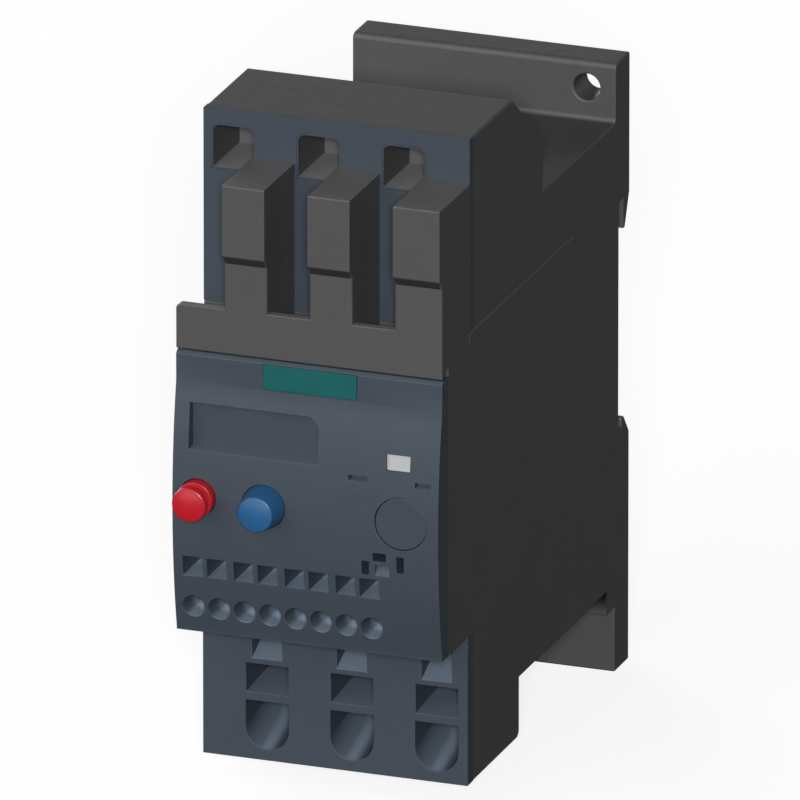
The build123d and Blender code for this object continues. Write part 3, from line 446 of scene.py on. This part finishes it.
def moulded_plastic(name, colour, roughness, grain, wear, painted_light):
    """Textured thermoplastic: faint flow marks, fine spark grain, edges rubbed a little lighter, and
    painted light and shade set by which way each face turns.
    """
    material = bpy.data.materials.new(name)
    nodes, links, shader, output = node_tree(material)
    place = nodes.new("ShaderNodeTexCoord").outputs["Object"]
    flow = noise(nodes, links, place, 90.0, 4.0)
    grains = noise(nodes, links, place, 4200.0, 2.0)
    smudges = noise(nodes, links, place, 420.0, 5.0)

    body = nodes.new("ShaderNodeMix")
    body.data_type = "RGBA"
    body.inputs["A"].default_value = tinted(colour, 0.98)
    body.inputs["B"].default_value = tinted(colour, 1.02)
    links.new(spread(nodes, links, flow.outputs["Fac"], 0.0, 1.0), body.inputs["Factor"])

    rubbed = nodes.new("ShaderNodeMix")
    rubbed.data_type = "RGBA"
    rubbed.inputs["B"].default_value = tinted(colour, 1.7)
    links.new(body.outputs["Result"], rubbed.inputs["A"])
    worn_width = 0.25 * MM
    patches = spread(nodes, links, smudges.outputs["Fac"], 0.0, wear)
    rubbing = combine(nodes, links, "MULTIPLY", edge_mask(nodes, links, worn_width), patches)
    links.new(rubbing, rubbed.inputs["Factor"])
    # Scales the colour by the factor of painted light and shade
    colour_with_painted_light = nodes.new("ShaderNodeVectorMath")
    colour_with_painted_light.operation = "SCALE"
    links.new(rubbed.outputs["Result"], colour_with_painted_light.inputs["Vector"])
    links.new(painted_shading_factor(nodes, links, painted_light), colour_with_painted_light.inputs["Scale"])
    links.new(colour_with_painted_light.outputs["Vector"], shader.inputs["Base Color"])

    links.new(
        spread(nodes, links, smudges.outputs["Fac"], roughness - 0.05, roughness + 0.05),
        shader.inputs["Roughness"],
    )
    bump = nodes.new("ShaderNodeBump")
    bump.inputs["Strength"].default_value = grain
    bump.inputs["Distance"].default_value = 0.03 * MM
    links.new(grains.outputs["Fac"], bump.inputs["Height"])
    links.new(bump.outputs["Normal"], shader.inputs["Normal"])
    shader.inputs["IOR"].default_value = 1.48
    shader.inputs["Specular IOR Level"].default_value = 0.3
    return material


def satin_plastic(name, colour, roughness, gloss):
    """Smooth satin plastic of the buttons, tile and slide, with a faint orange-peel surface."""
    material = bpy.data.materials.new(name)
    nodes, links, shader, output = node_tree(material)
    place = nodes.new("ShaderNodeTexCoord").outputs["Object"]
    flow = noise(nodes, links, place, 260.0, 3.0)
    peel = noise(nodes, links, place, 1500.0, 1.0)

    body = nodes.new("ShaderNodeMix")
    body.data_type = "RGBA"
    body.inputs["A"].default_value = tinted(colour, 0.96)
    body.inputs["B"].default_value = tinted(colour, 1.04)
    links.new(spread(nodes, links, flow.outputs["Fac"], 0.0, 1.0), body.inputs["Factor"])
    links.new(body.outputs["Result"], shader.inputs["Base Color"])
    links.new(
        spread(nodes, links, flow.outputs["Fac"], roughness - 0.04, roughness + 0.04),
        shader.inputs["Roughness"],
    )
    bump = nodes.new("ShaderNodeBump")
    bump.inputs["Strength"].default_value = 0.08
    bump.inputs["Distance"].default_value = 0.02 * MM
    links.new(peel.outputs["Fac"], bump.inputs["Height"])
    links.new(bump.outputs["Normal"], shader.inputs["Normal"])
    shader.inputs["IOR"].default_value = 1.5
    shader.inputs["Specular IOR Level"].default_value = gloss
    return material


def rolled_metal(name, colour, roughness):
    """Strip metal with fine rolling lines and patches of dull oxide."""
    material = bpy.data.materials.new(name)
    nodes, links, shader, output = node_tree(material)
    place = nodes.new("ShaderNodeTexCoord").outputs["Object"]
    stretched = nodes.new("ShaderNodeMapping")
    stretched.inputs["Scale"].default_value = (1.0, 0.06, 1.0)
    links.new(place, stretched.inputs["Vector"])
    lines = noise(nodes, links, stretched.outputs["Vector"], 6000.0, 2.0)
    oxide = noise(nodes, links, place, 500.0, 4.0)

    body = nodes.new("ShaderNodeMix")
    body.data_type = "RGBA"
    body.inputs["A"].default_value = tinted(colour, 0.8)
    body.inputs["B"].default_value = tinted(colour, 1.05)
    links.new(spread(nodes, links, oxide.outputs["Fac"], 0.0, 1.0), body.inputs["Factor"])
    links.new(body.outputs["Result"], shader.inputs["Base Color"])
    links.new(
        spread(nodes, links, oxide.outputs["Fac"], roughness + 0.1, roughness - 0.05),
        shader.inputs["Roughness"],
    )
    bump = nodes.new("ShaderNodeBump")
    bump.inputs["Strength"].default_value = 0.15
    bump.inputs["Distance"].default_value = 0.01 * MM
    links.new(lines.outputs["Fac"], bump.inputs["Height"])
    links.new(bump.outputs["Normal"], shader.inputs["Normal"])
    shader.inputs["Metallic"].default_value = 1.0
    return material


def shared_material(name, maker, *values):
    """The material of that name, made the first time it is asked for."""
    return bpy.data.materials.get(name) or maker(name, *values)


# Painted light and shade: factors on the base colour by a face's direction, fitted to the photo's tones
# and not
# physical: stops of (normal's Z, factor), then the gain to the front and to the left. EVEN_LIFT leaves a
# colour as it is.
EVEN_LIFT = (((-1.0, 1.0), (1.0, 1.0)), 0.0, 0.0)
# Painted shade on undercuts, painted light on faces tilted up, and flat tops a little darker
OUTER_PAINTED_LIGHT = (((-1.0, 0.4), (-0.14, 0.88), (0.0, 1.0), (0.15, 1.2), (0.6, 1.35), (1.0, 0.77)), 0.0, 0.0)
# Painted shade on the shroud's undercuts and painted light on its tops
SHROUD_PAINTED_LIGHT = (((-1.0, 0.3), (-0.6, 0.42), (0.0, 1.0), (0.6, 1.5), (1.0, 1.75)), 0.0, 0.0)
# Painted light on the arch chutes' floors and front-turned faces, where their walls would shade them
CHUTE_PAINTED_LIGHT = (((0.0, 1.0), (1.0, 2.9)), 0.4, 0.0)
# Painted light on the floors of square openings and recesses, where their walls would shade them
FLOOR_PAINTED_LIGHT = (((0.0, 1.0), (0.5, 1.4), (1.0, 2.45)), 0.0, 0.0)
# Painted sheen on the ramps, strongest where they tilt up and to the front
RAMP_PAINTED_SHEEN = (((0.0, 1.0), (0.5, 1.7), (0.92, 3.15), (1.0, 2.8)), 0.0, 0.0)
# Painted highlight stripe along the cable channels' floors, and painted shade on faces turned to the left
CABLE_PAINTED_LIGHT = (((0.0, 1.0), (0.5, 1.5), (0.9, 1.9), (1.0, 3.9)), 0.0, -0.95)
# Painted light on the funnels' floors and cones, more where they turn to the front and left
FUNNEL_PAINTED_LIGHT = (((0.0, 1.0), (0.6, 1.4), (0.92, 3.5), (1.0, 3.7)), 0.8, 0.6)

# Roughness and grain of each plastic, and how far its edges are rubbed
DARK_TEXTURE = (0.52, 0.10)
BLUE_GREY_TEXTURE = (0.50, 0.08)
INNER_TEXTURE = (0.5, 0.05)
DARK_WEAR = 0.35
SHROUD_WEAR = 0.3
BLUE_GREY_WEAR = 0.30
INNER_WEAR = 0.1
NO_WEAR = 0.0


# The two case plastics carry painted shade on undercuts and painted light on faces tilted up
def dark_case_material(context):
    colour = context.scene.relay_finish.dark_case
    return shared_material(
        "dark_case_plastic", moulded_plastic, colour, *DARK_TEXTURE, DARK_WEAR, OUTER_PAINTED_LIGHT
    )


def blue_grey_material(context):
    colour = context.scene.relay_finish.blue_grey_case
    return shared_material(
        "blue_grey_plastic", moulded_plastic, colour, *BLUE_GREY_TEXTURE, BLUE_GREY_WEAR, OUTER_PAINTED_LIGHT
    )


def paint_node(name, material):
    """Gives a carried-over CAD node its material and leaves its mesh alone."""
    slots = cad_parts[name].data.materials
    slots.clear()
    slots.append(material)


def smooth_by_angle(mesh, degrees):
    """Smooth shading that keeps the edges sharper than an angle."""
    mesh.polygons.foreach_set("use_smooth", [True] * len(mesh.polygons))
    mesh.set_sharp_from_angle(angle=math.radians(degrees))


def finished_object(name, mesh, body, materials, replaced):
    """Puts a finished mesh in the scene, on its body and in place of its CAD node."""
    for material in materials:
        mesh.materials.append(material)
    piece = bpy.data.objects.new(name, mesh)
    bpy.context.scene.collection.objects.link(piece)
    weighted = piece.modifiers.new("Even Shading", "WEIGHTED_NORMAL")
    weighted.keep_sharp = True
    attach(piece, body)
    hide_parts(replaced)
    return piece


def on_seam(edge, seams):
    """Whether an edge lies in one of the seam planes, given as an axis number and a place in mm."""
    return any(
        all(abs(vert.co[axis] - place * MM) < SEAM_REACH for vert in edge.verts)
        for axis, place in seams
    )


def row_of_boxes(places, half, low, high):
    """Boxes round like openings in a row along X, with low and high as (y, z) in mm."""
    return [
        (
            Vector((x - half * MM, low[0] * MM, low[1] * MM)),
            Vector((x + half * MM, high[0] * MM, high[1] * MM)),
        )
        for x in places
    ]


def inside(point, box):
    """Whether a point lies in a box of two corners."""
    return all(low <= value <= high for low, value, high in zip(box[0], point, box[1]))


def in_opening(face, box):
    """Whether a face has its centre in a box and is no wider than it."""
    places = [vert.co.x for vert in face.verts]
    return inside(face.calc_center_median(), box) and max(places) - min(places) <= box[1].x - box[0].x


def radiused_moulding(node, body, material, radius, openings=(), crisp=()):
    """A CAD node's moulding with its triangles merged into faces and its outer edges radiused.

    Each entry of openings holds the material of some openings' insides, for most of them a copy of the
    plastic with painted light, and the boxes round them. Edges in the boxes of crisp keep their corners.
    """
    mesh = bpy.data.meshes.new(node + "_moulding")
    shape = bmesh.new()
    shape.from_mesh(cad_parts[node].data)
    bmesh.ops.remove_doubles(shape, verts=shape.verts, dist=NODE_MERGE)
    bmesh.ops.dissolve_limit(
        shape,
        angle_limit=math.radians(FLAT_ANGLE),
        use_dissolve_boundaries=False,
        verts=shape.verts,
        edges=shape.edges,
    )
    outer_edges = [
        edge
        for edge in shape.edges
        if len(edge.link_faces) == 2 and edge.is_convex
        and edge.calc_face_angle() > math.radians(RADIUSED_ANGLE)
        and not on_seam(edge, SEAMS.get(node, ()))
        and not any(all(inside(vert.co, box) for vert in edge.verts) for box in crisp)
    ]
    for index, (_, boxes) in enumerate(openings, 1):
        for face in shape.faces:
            if face.normal.y < REAR_FACING and any(in_opening(face, box) for box in boxes):
                face.material_index = index
    bmesh.ops.bevel(
        shape,
        geom=outer_edges,
        offset=radius,
        offset_type="OFFSET",
        affect="EDGES",
        segments=2,
        profile=0.5,
        material=-1,
        clamp_overlap=False,
    )
    shape.to_mesh(mesh)
    shape.free()
    smooth_by_angle(mesh, SHARP_ANGLE)
    materials = [material] + [inner for inner, _ in openings]
    return finished_object(node + "_moulding", mesh, body, materials, node)


def turned_solid(shape, axis, profile, segments):
    """Turns a profile of (radius, y) points about a button's axis, from its face to its rear."""
    x, z = axis
    points = [shape.verts.new((x + radius, y, z)) for radius, y in profile]
    edges = [shape.edges.new(pair) for pair in zip(points, points[1:])]
    bmesh.ops.spin(
        shape,
        geom=points + edges,
        cent=(x, 0.0, z),
        axis=(0.0, 1.0, 0.0),
        dvec=(0.0, 0.0, 0.0),
        angle=2 * math.pi,
        steps=segments,
        use_merge=True,
    )


def domed_face(radius, front_y, dome, steps):
    """Profile points of a shallow dome, from the axis outwards."""
    return [
        (radius * i / steps, front_y + dome * (i / steps) ** 2)
        for i in range(steps + 1)
    ]


def rounded_corner(radius, front_y, corner, steps):
    """Profile points of a quarter round between a face and the side at that radius."""
    angles = [math.pi / 2 * i / steps for i in range(1, steps + 1)]
    return [
        (radius - corner + corner * math.sin(a), front_y + corner - corner * math.cos(a))
        for a in angles
    ]


def close_shape(shape, mesh):
    """Merges doubles, turns the faces outwards and writes the mesh."""
    bmesh.ops.remove_doubles(shape, verts=shape.verts, dist=PROFILE_MERGE)
    bmesh.ops.recalc_face_normals(shape, faces=shape.faces)
    shape.to_mesh(mesh)
    shape.free()


class RELAY_OT_dark_mouldings(bpy.types.Operator):
    """Finish the support base, the relay case and the pin shroud"""

    bl_idname = "relay.dark_mouldings"
    bl_label = "Dark Mouldings"

    def execute(self, context):
        shape = context.scene.relay_shape
        material = dark_case_material(context)
        colour = context.scene.relay_finish.dark_case
        plastic = (moulded_plastic, colour, *DARK_TEXTURE)
        # A copy of the dark plastic with painted light in the arch chutes, where their walls would shade
        # them
        chute = shared_material("dark_chute_plastic", *plastic, NO_WEAR, CHUTE_PAINTED_LIGHT)
        chutes = row_of_boxes(*CHUTE_BOXES)
        rims = row_of_boxes(*ARCH_RIM_BOXES)
        radiused_moulding(
            "support_base", "root", material, shape.case_edge,
            [(chute, chutes), (blue_grey_material(context), rims)],
        )
        radiused_moulding("relay_housing", "root", material, shape.case_edge)
        # A copy of the dark plastic with painted shade on the shroud's undercuts and painted light on its
        # tops
        shroud = shared_material("dark_shroud_plastic", *plastic, SHROUD_WEAR, SHROUD_PAINTED_LIGHT)
        radiused_moulding("pin_shroud", "root", shroud, shape.shroud_edge)
        return {"FINISHED"}


class RELAY_OT_blue_grey_mouldings(bpy.types.Operator):
    """Finish the front cover and the two terminal fronts"""

    bl_idname = "relay.blue_grey_mouldings"
    bl_label = "Blue-Grey Mouldings"

    def execute(self, context):
        shape = context.scene.relay_shape
        material = blue_grey_material(context)
        arches = row_of_boxes(*ARCH_EDGE_BOXES)
        radiused_moulding(
            "support_front", "root", material, shape.layer_edge, crisp=arches
        )
        colour = context.scene.relay_finish.blue_grey_case
        plastic = (moulded_plastic, colour, *BLUE_GREY_TEXTURE, NO_WEAR)
        # Copies of the blue-grey plastic: painted light in the openings and funnels, a painted sheen on
        # the ramps, and a painted highlight stripe with painted shade in the cable channels
        floor = shared_material("blue_grey_floor_plastic", *plastic, FLOOR_PAINTED_LIGHT)
        ramp = shared_material("blue_grey_ramp_plastic", *plastic, RAMP_PAINTED_SHEEN)
        funnel = shared_material("blue_grey_funnel_plastic", *plastic, FUNNEL_PAINTED_LIGHT)
        cable = shared_material("blue_grey_cable_plastic", *plastic, CABLE_PAINTED_LIGHT)
        squares = row_of_boxes(*SQUARE_BOXES)
        ramps = row_of_boxes(*RAMP_BOXES)
        cables = row_of_boxes(*CABLE_BOXES)
        radiused_moulding(
            "lower_front", "root", material, shape.layer_edge,
            [(floor, squares), (ramp, ramps), (cable, cables)],
        )
        funnels = row_of_boxes(*SQUARE_FUNNEL_BOXES) + row_of_boxes(*ROUND_FUNNEL_BOXES)
        recesses = row_of_boxes(*GUIDE_SLOT_BOXES) + row_of_boxes(*LABEL_RECESS_BOXES)
        radiused_moulding(
            "front_cover", "root", material, shape.cover_edge,
            [(floor, recesses), (funnel, funnels)],
        )
        return {"FINISHED"}


class RELAY_OT_cover_trim(bpy.types.Operator):
    """Finish the bare tile, the setting dial and the white slide"""

    bl_idname = "relay.cover_trim"
    bl_label = "Tile, Dial And Slide"

    def execute(self, context):
        edge = context.scene.relay_shape.trim_edge
        finish = context.scene.relay_finish
        tile = shared_material("tile_plastic", satin_plastic, finish.teal, 0.5, 0.2)
        slide = shared_material("indicator_plastic", satin_plastic, finish.white, 0.42, 0.4)
        radiused_moulding("name_tile", "root", tile, edge)
        radiused_moulding("test_slide", "test_slide", slide, edge)
        radiused_moulding(
            "setting_dial", "setting_dial", blue_grey_material(context), edge
        )
        return {"FINISHED"}


class RELAY_OT_stop_button(bpy.types.Operator):
    """Model the red stop button with its head, neck, base and stem"""

    bl_idname = "relay.stop_button"
    bl_label = "Stop Button"

    def execute(self, context):
        dome = context.scene.relay_shape.button_dome
        finish = context.scene.relay_finish
        head_radius = 2.9 * MM
        neck_radius = 1.9 * MM
        base_radius = 3.0 * MM
        stem_radius = 1.8 * MM
        corner = 0.45 * MM
        small_corner = 0.15 * MM
        rear_chamfer = 0.2 * MM
        head_end_y = STOP_FRONT_Y + 1.6 * MM
        base_y = COVER_FRONT_Y - 1.6 * MM
        base_end_y = COVER_FRONT_Y + 2.1 * MM
        rear_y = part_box("stop_button")[1].y

        mesh = bpy.data.meshes.new("stop_button_body")
        shape = bmesh.new()
        profile = domed_face(head_radius - corner, STOP_FRONT_Y, dome, 6)
        profile += rounded_corner(head_radius, STOP_FRONT_Y + dome, corner, 5)
        profile += [
            (head_radius, head_end_y - small_corner),
            (head_radius - small_corner, head_end_y),
            (neck_radius, head_end_y),
            (neck_radius, base_y),
            (base_radius - small_corner, base_y),
        ]
        profile += rounded_corner(base_radius, base_y, small_corner, 3)
        profile += [
            (base_radius, base_end_y),
            (stem_radius, base_end_y),
            (stem_radius, rear_y - rear_chamfer),
            (stem_radius - rear_chamfer, rear_y),
            (0.0, rear_y),
        ]
        turned_solid(shape, STOP_AXIS, profile, BUTTON_SEGMENTS)
        close_shape(shape, mesh)
        smooth_by_angle(mesh, BUTTON_SHARP_ANGLE)
        material = shared_material("stop_button_plastic", satin_plastic, finish.red, 0.34, 0.5)
        finished_object("stop_button_body", mesh, "stop_button", [material], "stop_button")
        return {"FINISHED"}


class RELAY_OT_reset_button(bpy.types.Operator):
    """Model the blue reset cap, a domed disc on a cone"""

    bl_idname = "relay.reset_button"
    bl_label = "Reset Button"

    def execute(self, context):
        dome = context.scene.relay_shape.button_dome
        finish = context.scene.relay_finish
        face_radius = 2.95 * MM
        base_radius = 3.6 * MM
        bore_radius = 1.55 * MM
        corner = 0.3 * MM
        cone_end_y = COVER_FRONT_Y - 0.3 * MM
        bore_end_y = RESET_REAR_Y - 5.0 * MM

        mesh = bpy.data.meshes.new("reset_button_body")
        shape = bmesh.new()
        profile = domed_face(face_radius - corner, RESET_FRONT_Y, dome, 6)
        profile += rounded_corner(face_radius, RESET_FRONT_Y + dome, corner, 4)
        profile += [
            (base_radius, cone_end_y),
            (base_radius, RESET_REAR_Y),
            (bore_radius, RESET_REAR_Y),
            (bore_radius, bore_end_y),
            (0.0, bore_end_y),
        ]
        turned_solid(shape, RESET_AXIS, profile, BUTTON_SEGMENTS)
        close_shape(shape, mesh)
        smooth_by_angle(mesh, BUTTON_SHARP_ANGLE)
        material = shared_material("reset_button_plastic", satin_plastic, finish.blue, 0.36, 0.5)
        finished_object(
            "reset_button_body", mesh, "reset_button", [material], "reset_button"
        )
        return {"FINISHED"}


class RELAY_OT_metal_parts(bpy.types.Operator):
    """Finish the bars, pins, clamps, springs and screws"""

    bl_idname = "relay.metal_parts"
    bl_label = "Metal Parts"

    copper_nodes = (
        "upper_busbars",
        "connection_pins",
        "load_busbars",
        "supply_busbars",
        "moving_contacts",
        "fixed_contacts",
    )
    steel_nodes = (
        "upper_clamps",
        "lower_clamps",
        "aux_clamps",
        "rail_springs",
        "stop_spring",
        "reset_spring",
        "rail_pusher",
        "lever_pin",
        "mechanism_screws",
    )
    bimetal_nodes = ("bimetals", "compensation_strip", "heaters")

    def execute(self, context):
        finish = context.scene.relay_finish
        copper = shared_material("copper_strip", rolled_metal, finish.copper, 0.32)
        steel = shared_material("spring_steel", rolled_metal, finish.steel, 0.30)
        bimetal = shared_material("bimetal_strip", rolled_metal, finish.bimetal, 0.38)
        for names, material in (
            (self.copper_nodes, copper),
            (self.steel_nodes, steel),
            (self.bimetal_nodes, bimetal),
        ):
            for name in names:
                paint_node(name, material)
        return {"FINISHED"}


class RELAY_OT_mechanism(bpy.types.Operator):
    """Finish the moulded parts of the trip mechanism"""

    bl_idname = "relay.mechanism"
    bl_label = "Mechanism"

    moulded_nodes = (
        "mechanism_plate",
        "reset_plunger",
        "contact_carriage",
        "trip_slide",
        "return_slide",
        "trip_lever",
        "dial_cam",
    )

    def execute(self, context):
        finish = context.scene.relay_finish
        material = shared_material(
            "mechanism_plastic", moulded_plastic, finish.inner, *INNER_TEXTURE, INNER_WEAR, EVEN_LIFT
        )
        for name in self.moulded_nodes:
            paint_node(name, material)
        return {"FINISHED"}


def floor_material(white_share):
    """Pale floor that looks white and keeps a faint shadow, and lights the relay as mid grey."""
    seen_grey = (0.30, 0.30, 0.30, 1.0)
    bounced_grey = (0.12, 0.12, 0.12, 1.0)
    material = bpy.data.materials.new("studio_floor")
    material.use_nodes = True
    nodes = material.node_tree.nodes
    links = material.node_tree.links
    nodes.clear()
    output = nodes.new("ShaderNodeOutputMaterial")
    path = nodes.new("ShaderNodeLightPath")
    shadowed = nodes.new("ShaderNodeBsdfDiffuse")
    shadowed.inputs["Color"].default_value = seen_grey
    even = nodes.new("ShaderNodeEmission")
    even.inputs["Strength"].default_value = white_share
    seen = nodes.new("ShaderNodeAddShader")
    links.new(shadowed.outputs["BSDF"], seen.inputs[0])
    links.new(even.outputs["Emission"], seen.inputs[1])
    bounced = nodes.new("ShaderNodeBsdfDiffuse")
    bounced.inputs["Color"].default_value = bounced_grey
    seen_ray = combine(
        nodes, links, "MAXIMUM", path.outputs["Is Camera Ray"], path.outputs["Is Transmission Ray"]
    )
    choice = nodes.new("ShaderNodeMixShader")
    links.new(seen_ray, choice.inputs["Fac"])
    links.new(bounced.outputs["BSDF"], choice.inputs[1])
    links.new(seen.outputs["Shader"], choice.inputs[2])
    links.new(choice.outputs["Shader"], output.inputs["Surface"])
    return material


def studio_world(ambient, glossy_share):
    """Even light from all round, and a white background for the camera and, in part, for gloss."""
    world = bpy.data.worlds.new("studio_world")
    world.use_nodes = True
    nodes = world.node_tree.nodes
    links = world.node_tree.links
    nodes.clear()
    output = nodes.new("ShaderNodeOutputWorld")
    path = nodes.new("ShaderNodeLightPath")
    lighting = nodes.new("ShaderNodeBackground")
    lighting.inputs["Color"].default_value = (1.0, 1.0, 1.0, 1.0)
    lighting.inputs["Strength"].default_value = ambient
    white = nodes.new("ShaderNodeBackground")
    white.inputs["Color"].default_value = (1.0, 1.0, 1.0, 1.0)
    white.inputs["Strength"].default_value = 1.0
    gloss = combine(nodes, links, "MULTIPLY", path.outputs["Is Glossy Ray"], glossy_share)
    direct = combine(
        nodes, links, "MAXIMUM", path.outputs["Is Camera Ray"], path.outputs["Is Transmission Ray"]
    )
    choice = nodes.new("ShaderNodeMixShader")
    links.new(combine(nodes, links, "MAXIMUM", direct, gloss), choice.inputs["Fac"])
    links.new(lighting.outputs["Background"], choice.inputs[1])
    links.new(white.outputs["Background"], choice.inputs[2])
    links.new(choice.outputs["Shader"], output.inputs["Surface"])
    return world


def soft_sun(name, direction, spread_degrees, strength):
    """A wide, far light that comes from a direction."""
    lamp = bpy.data.lights.new(name, "SUN")
    lamp.energy = strength
    lamp.angle = math.radians(spread_degrees)
    sun = bpy.data.objects.new(name, lamp)
    sun.rotation_euler = Vector(direction).to_track_quat("Z", "Y").to_euler()
    bpy.context.scene.collection.objects.link(sun)


class RELAY_OT_stage(bpy.types.Operator):
    """Set up the floor, the light and the camera"""

    bl_idname = "relay.stage"
    bl_label = "Stage"

    def execute(self, context):
        stage = context.scene.relay_stage
        scene = context.scene
        scene.view_settings.view_transform = "Standard"
        scene.world = studio_world(stage.ambient, stage.glossy_share)

        floor_z = CAD_BOX[0][2] - FLOOR_GAP
        mesh = bpy.data.meshes.new("floor")
        shape = bmesh.new()
        bmesh.ops.create_grid(
            shape,
            x_segments=1,
            y_segments=1,
            size=FLOOR_HALF,
            matrix=Matrix.Translation((0.0, 0.0, floor_z)),
        )
        shape.to_mesh(mesh)
        shape.free()
        mesh.materials.append(floor_material(stage.floor_white))
        floor = bpy.data.objects.new("floor", mesh)
        scene.collection.objects.link(floor)

        soft_sun("front_light", *FRONT_LIGHT, stage.front)
        soft_sun("key_light", *KEY_LIGHT, stage.key)
        soft_sun("rear_light", *REAR_LIGHT, stage.rear)

        camera = bpy.data.cameras.new("photo_camera")
        camera.sensor_width = SENSOR_WIDTH
        camera.lens = stage.lens
        distance = stage.field * stage.lens / SENSOR_WIDTH
        camera.clip_start = 0.5 * distance
        camera.clip_end = 2.0 * distance
        level = math.cos(stage.elevation)
        towards = Vector(
            (
                math.sin(stage.azimuth) * level,
                -math.cos(stage.azimuth) * level,
                math.sin(stage.elevation),
            )
        )
        viewer = bpy.data.objects.new("photo_camera", camera)
        viewer.location = VIEW_TARGET + towards * distance
        viewer.rotation_euler = towards.to_track_quat("Z", "Y").to_euler()
        scene.collection.objects.link(viewer)
        scene.camera = viewer
        return {"FINISHED"}


class RELAY_PT_panel(bpy.types.Panel):
    """Lists the steps that build the relay"""

    bl_idname = "RELAY_PT_panel"
    bl_label = "Thermal Overload Relay"
    bl_space_type = "VIEW_3D"
    bl_region_type = "UI"
    bl_category = "Relay"

    def draw(self, context):
        layout = self.layout
        for step in STEPS:
            layout.operator(step.bl_idname)
        for settings in ("relay_shape", "relay_finish", "relay_stage"):
            box = layout.box()
            group = getattr(context.scene, settings)
            for key in group.bl_rna.properties.keys():
                if key not in ("rna_type", "name"):
                    box.prop(group, key)


STEPS = (
    RELAY_OT_dark_mouldings,
    RELAY_OT_blue_grey_mouldings,
    RELAY_OT_cover_trim,
    RELAY_OT_stop_button,
    RELAY_OT_reset_button,
    RELAY_OT_metal_parts,
    RELAY_OT_mechanism,
    RELAY_OT_stage,
)
SETTINGS = (RelayShapeSettings, RelayFinishSettings, RelayStageSettings)


def register():
    for cls in SETTINGS + STEPS + (RELAY_PT_panel,):
        bpy.utils.register_class(cls)
    bpy.types.Scene.relay_shape = bpy.props.PointerProperty(type=RelayShapeSettings)
    bpy.types.Scene.relay_finish = bpy.props.PointerProperty(type=RelayFinishSettings)
    bpy.types.Scene.relay_stage = bpy.props.PointerProperty(type=RelayStageSettings)


def unregister():
    del bpy.types.Scene.relay_stage
    del bpy.types.Scene.relay_finish
    del bpy.types.Scene.relay_shape
    for cls in reversed(SETTINGS + STEPS + (RELAY_PT_panel,)):
        bpy.utils.unregister_class(cls)


def main():
    """Builds the relay step by step."""
    register()
    bpy.ops.relay.dark_mouldings()
    bpy.ops.relay.blue_grey_mouldings()
    bpy.ops.relay.cover_trim()
    bpy.ops.relay.stop_button()
    bpy.ops.relay.reset_button()
    bpy.ops.relay.metal_parts()
    bpy.ops.relay.mechanism()
    bpy.ops.relay.stage()


if __name__ == "__main__":
    main()
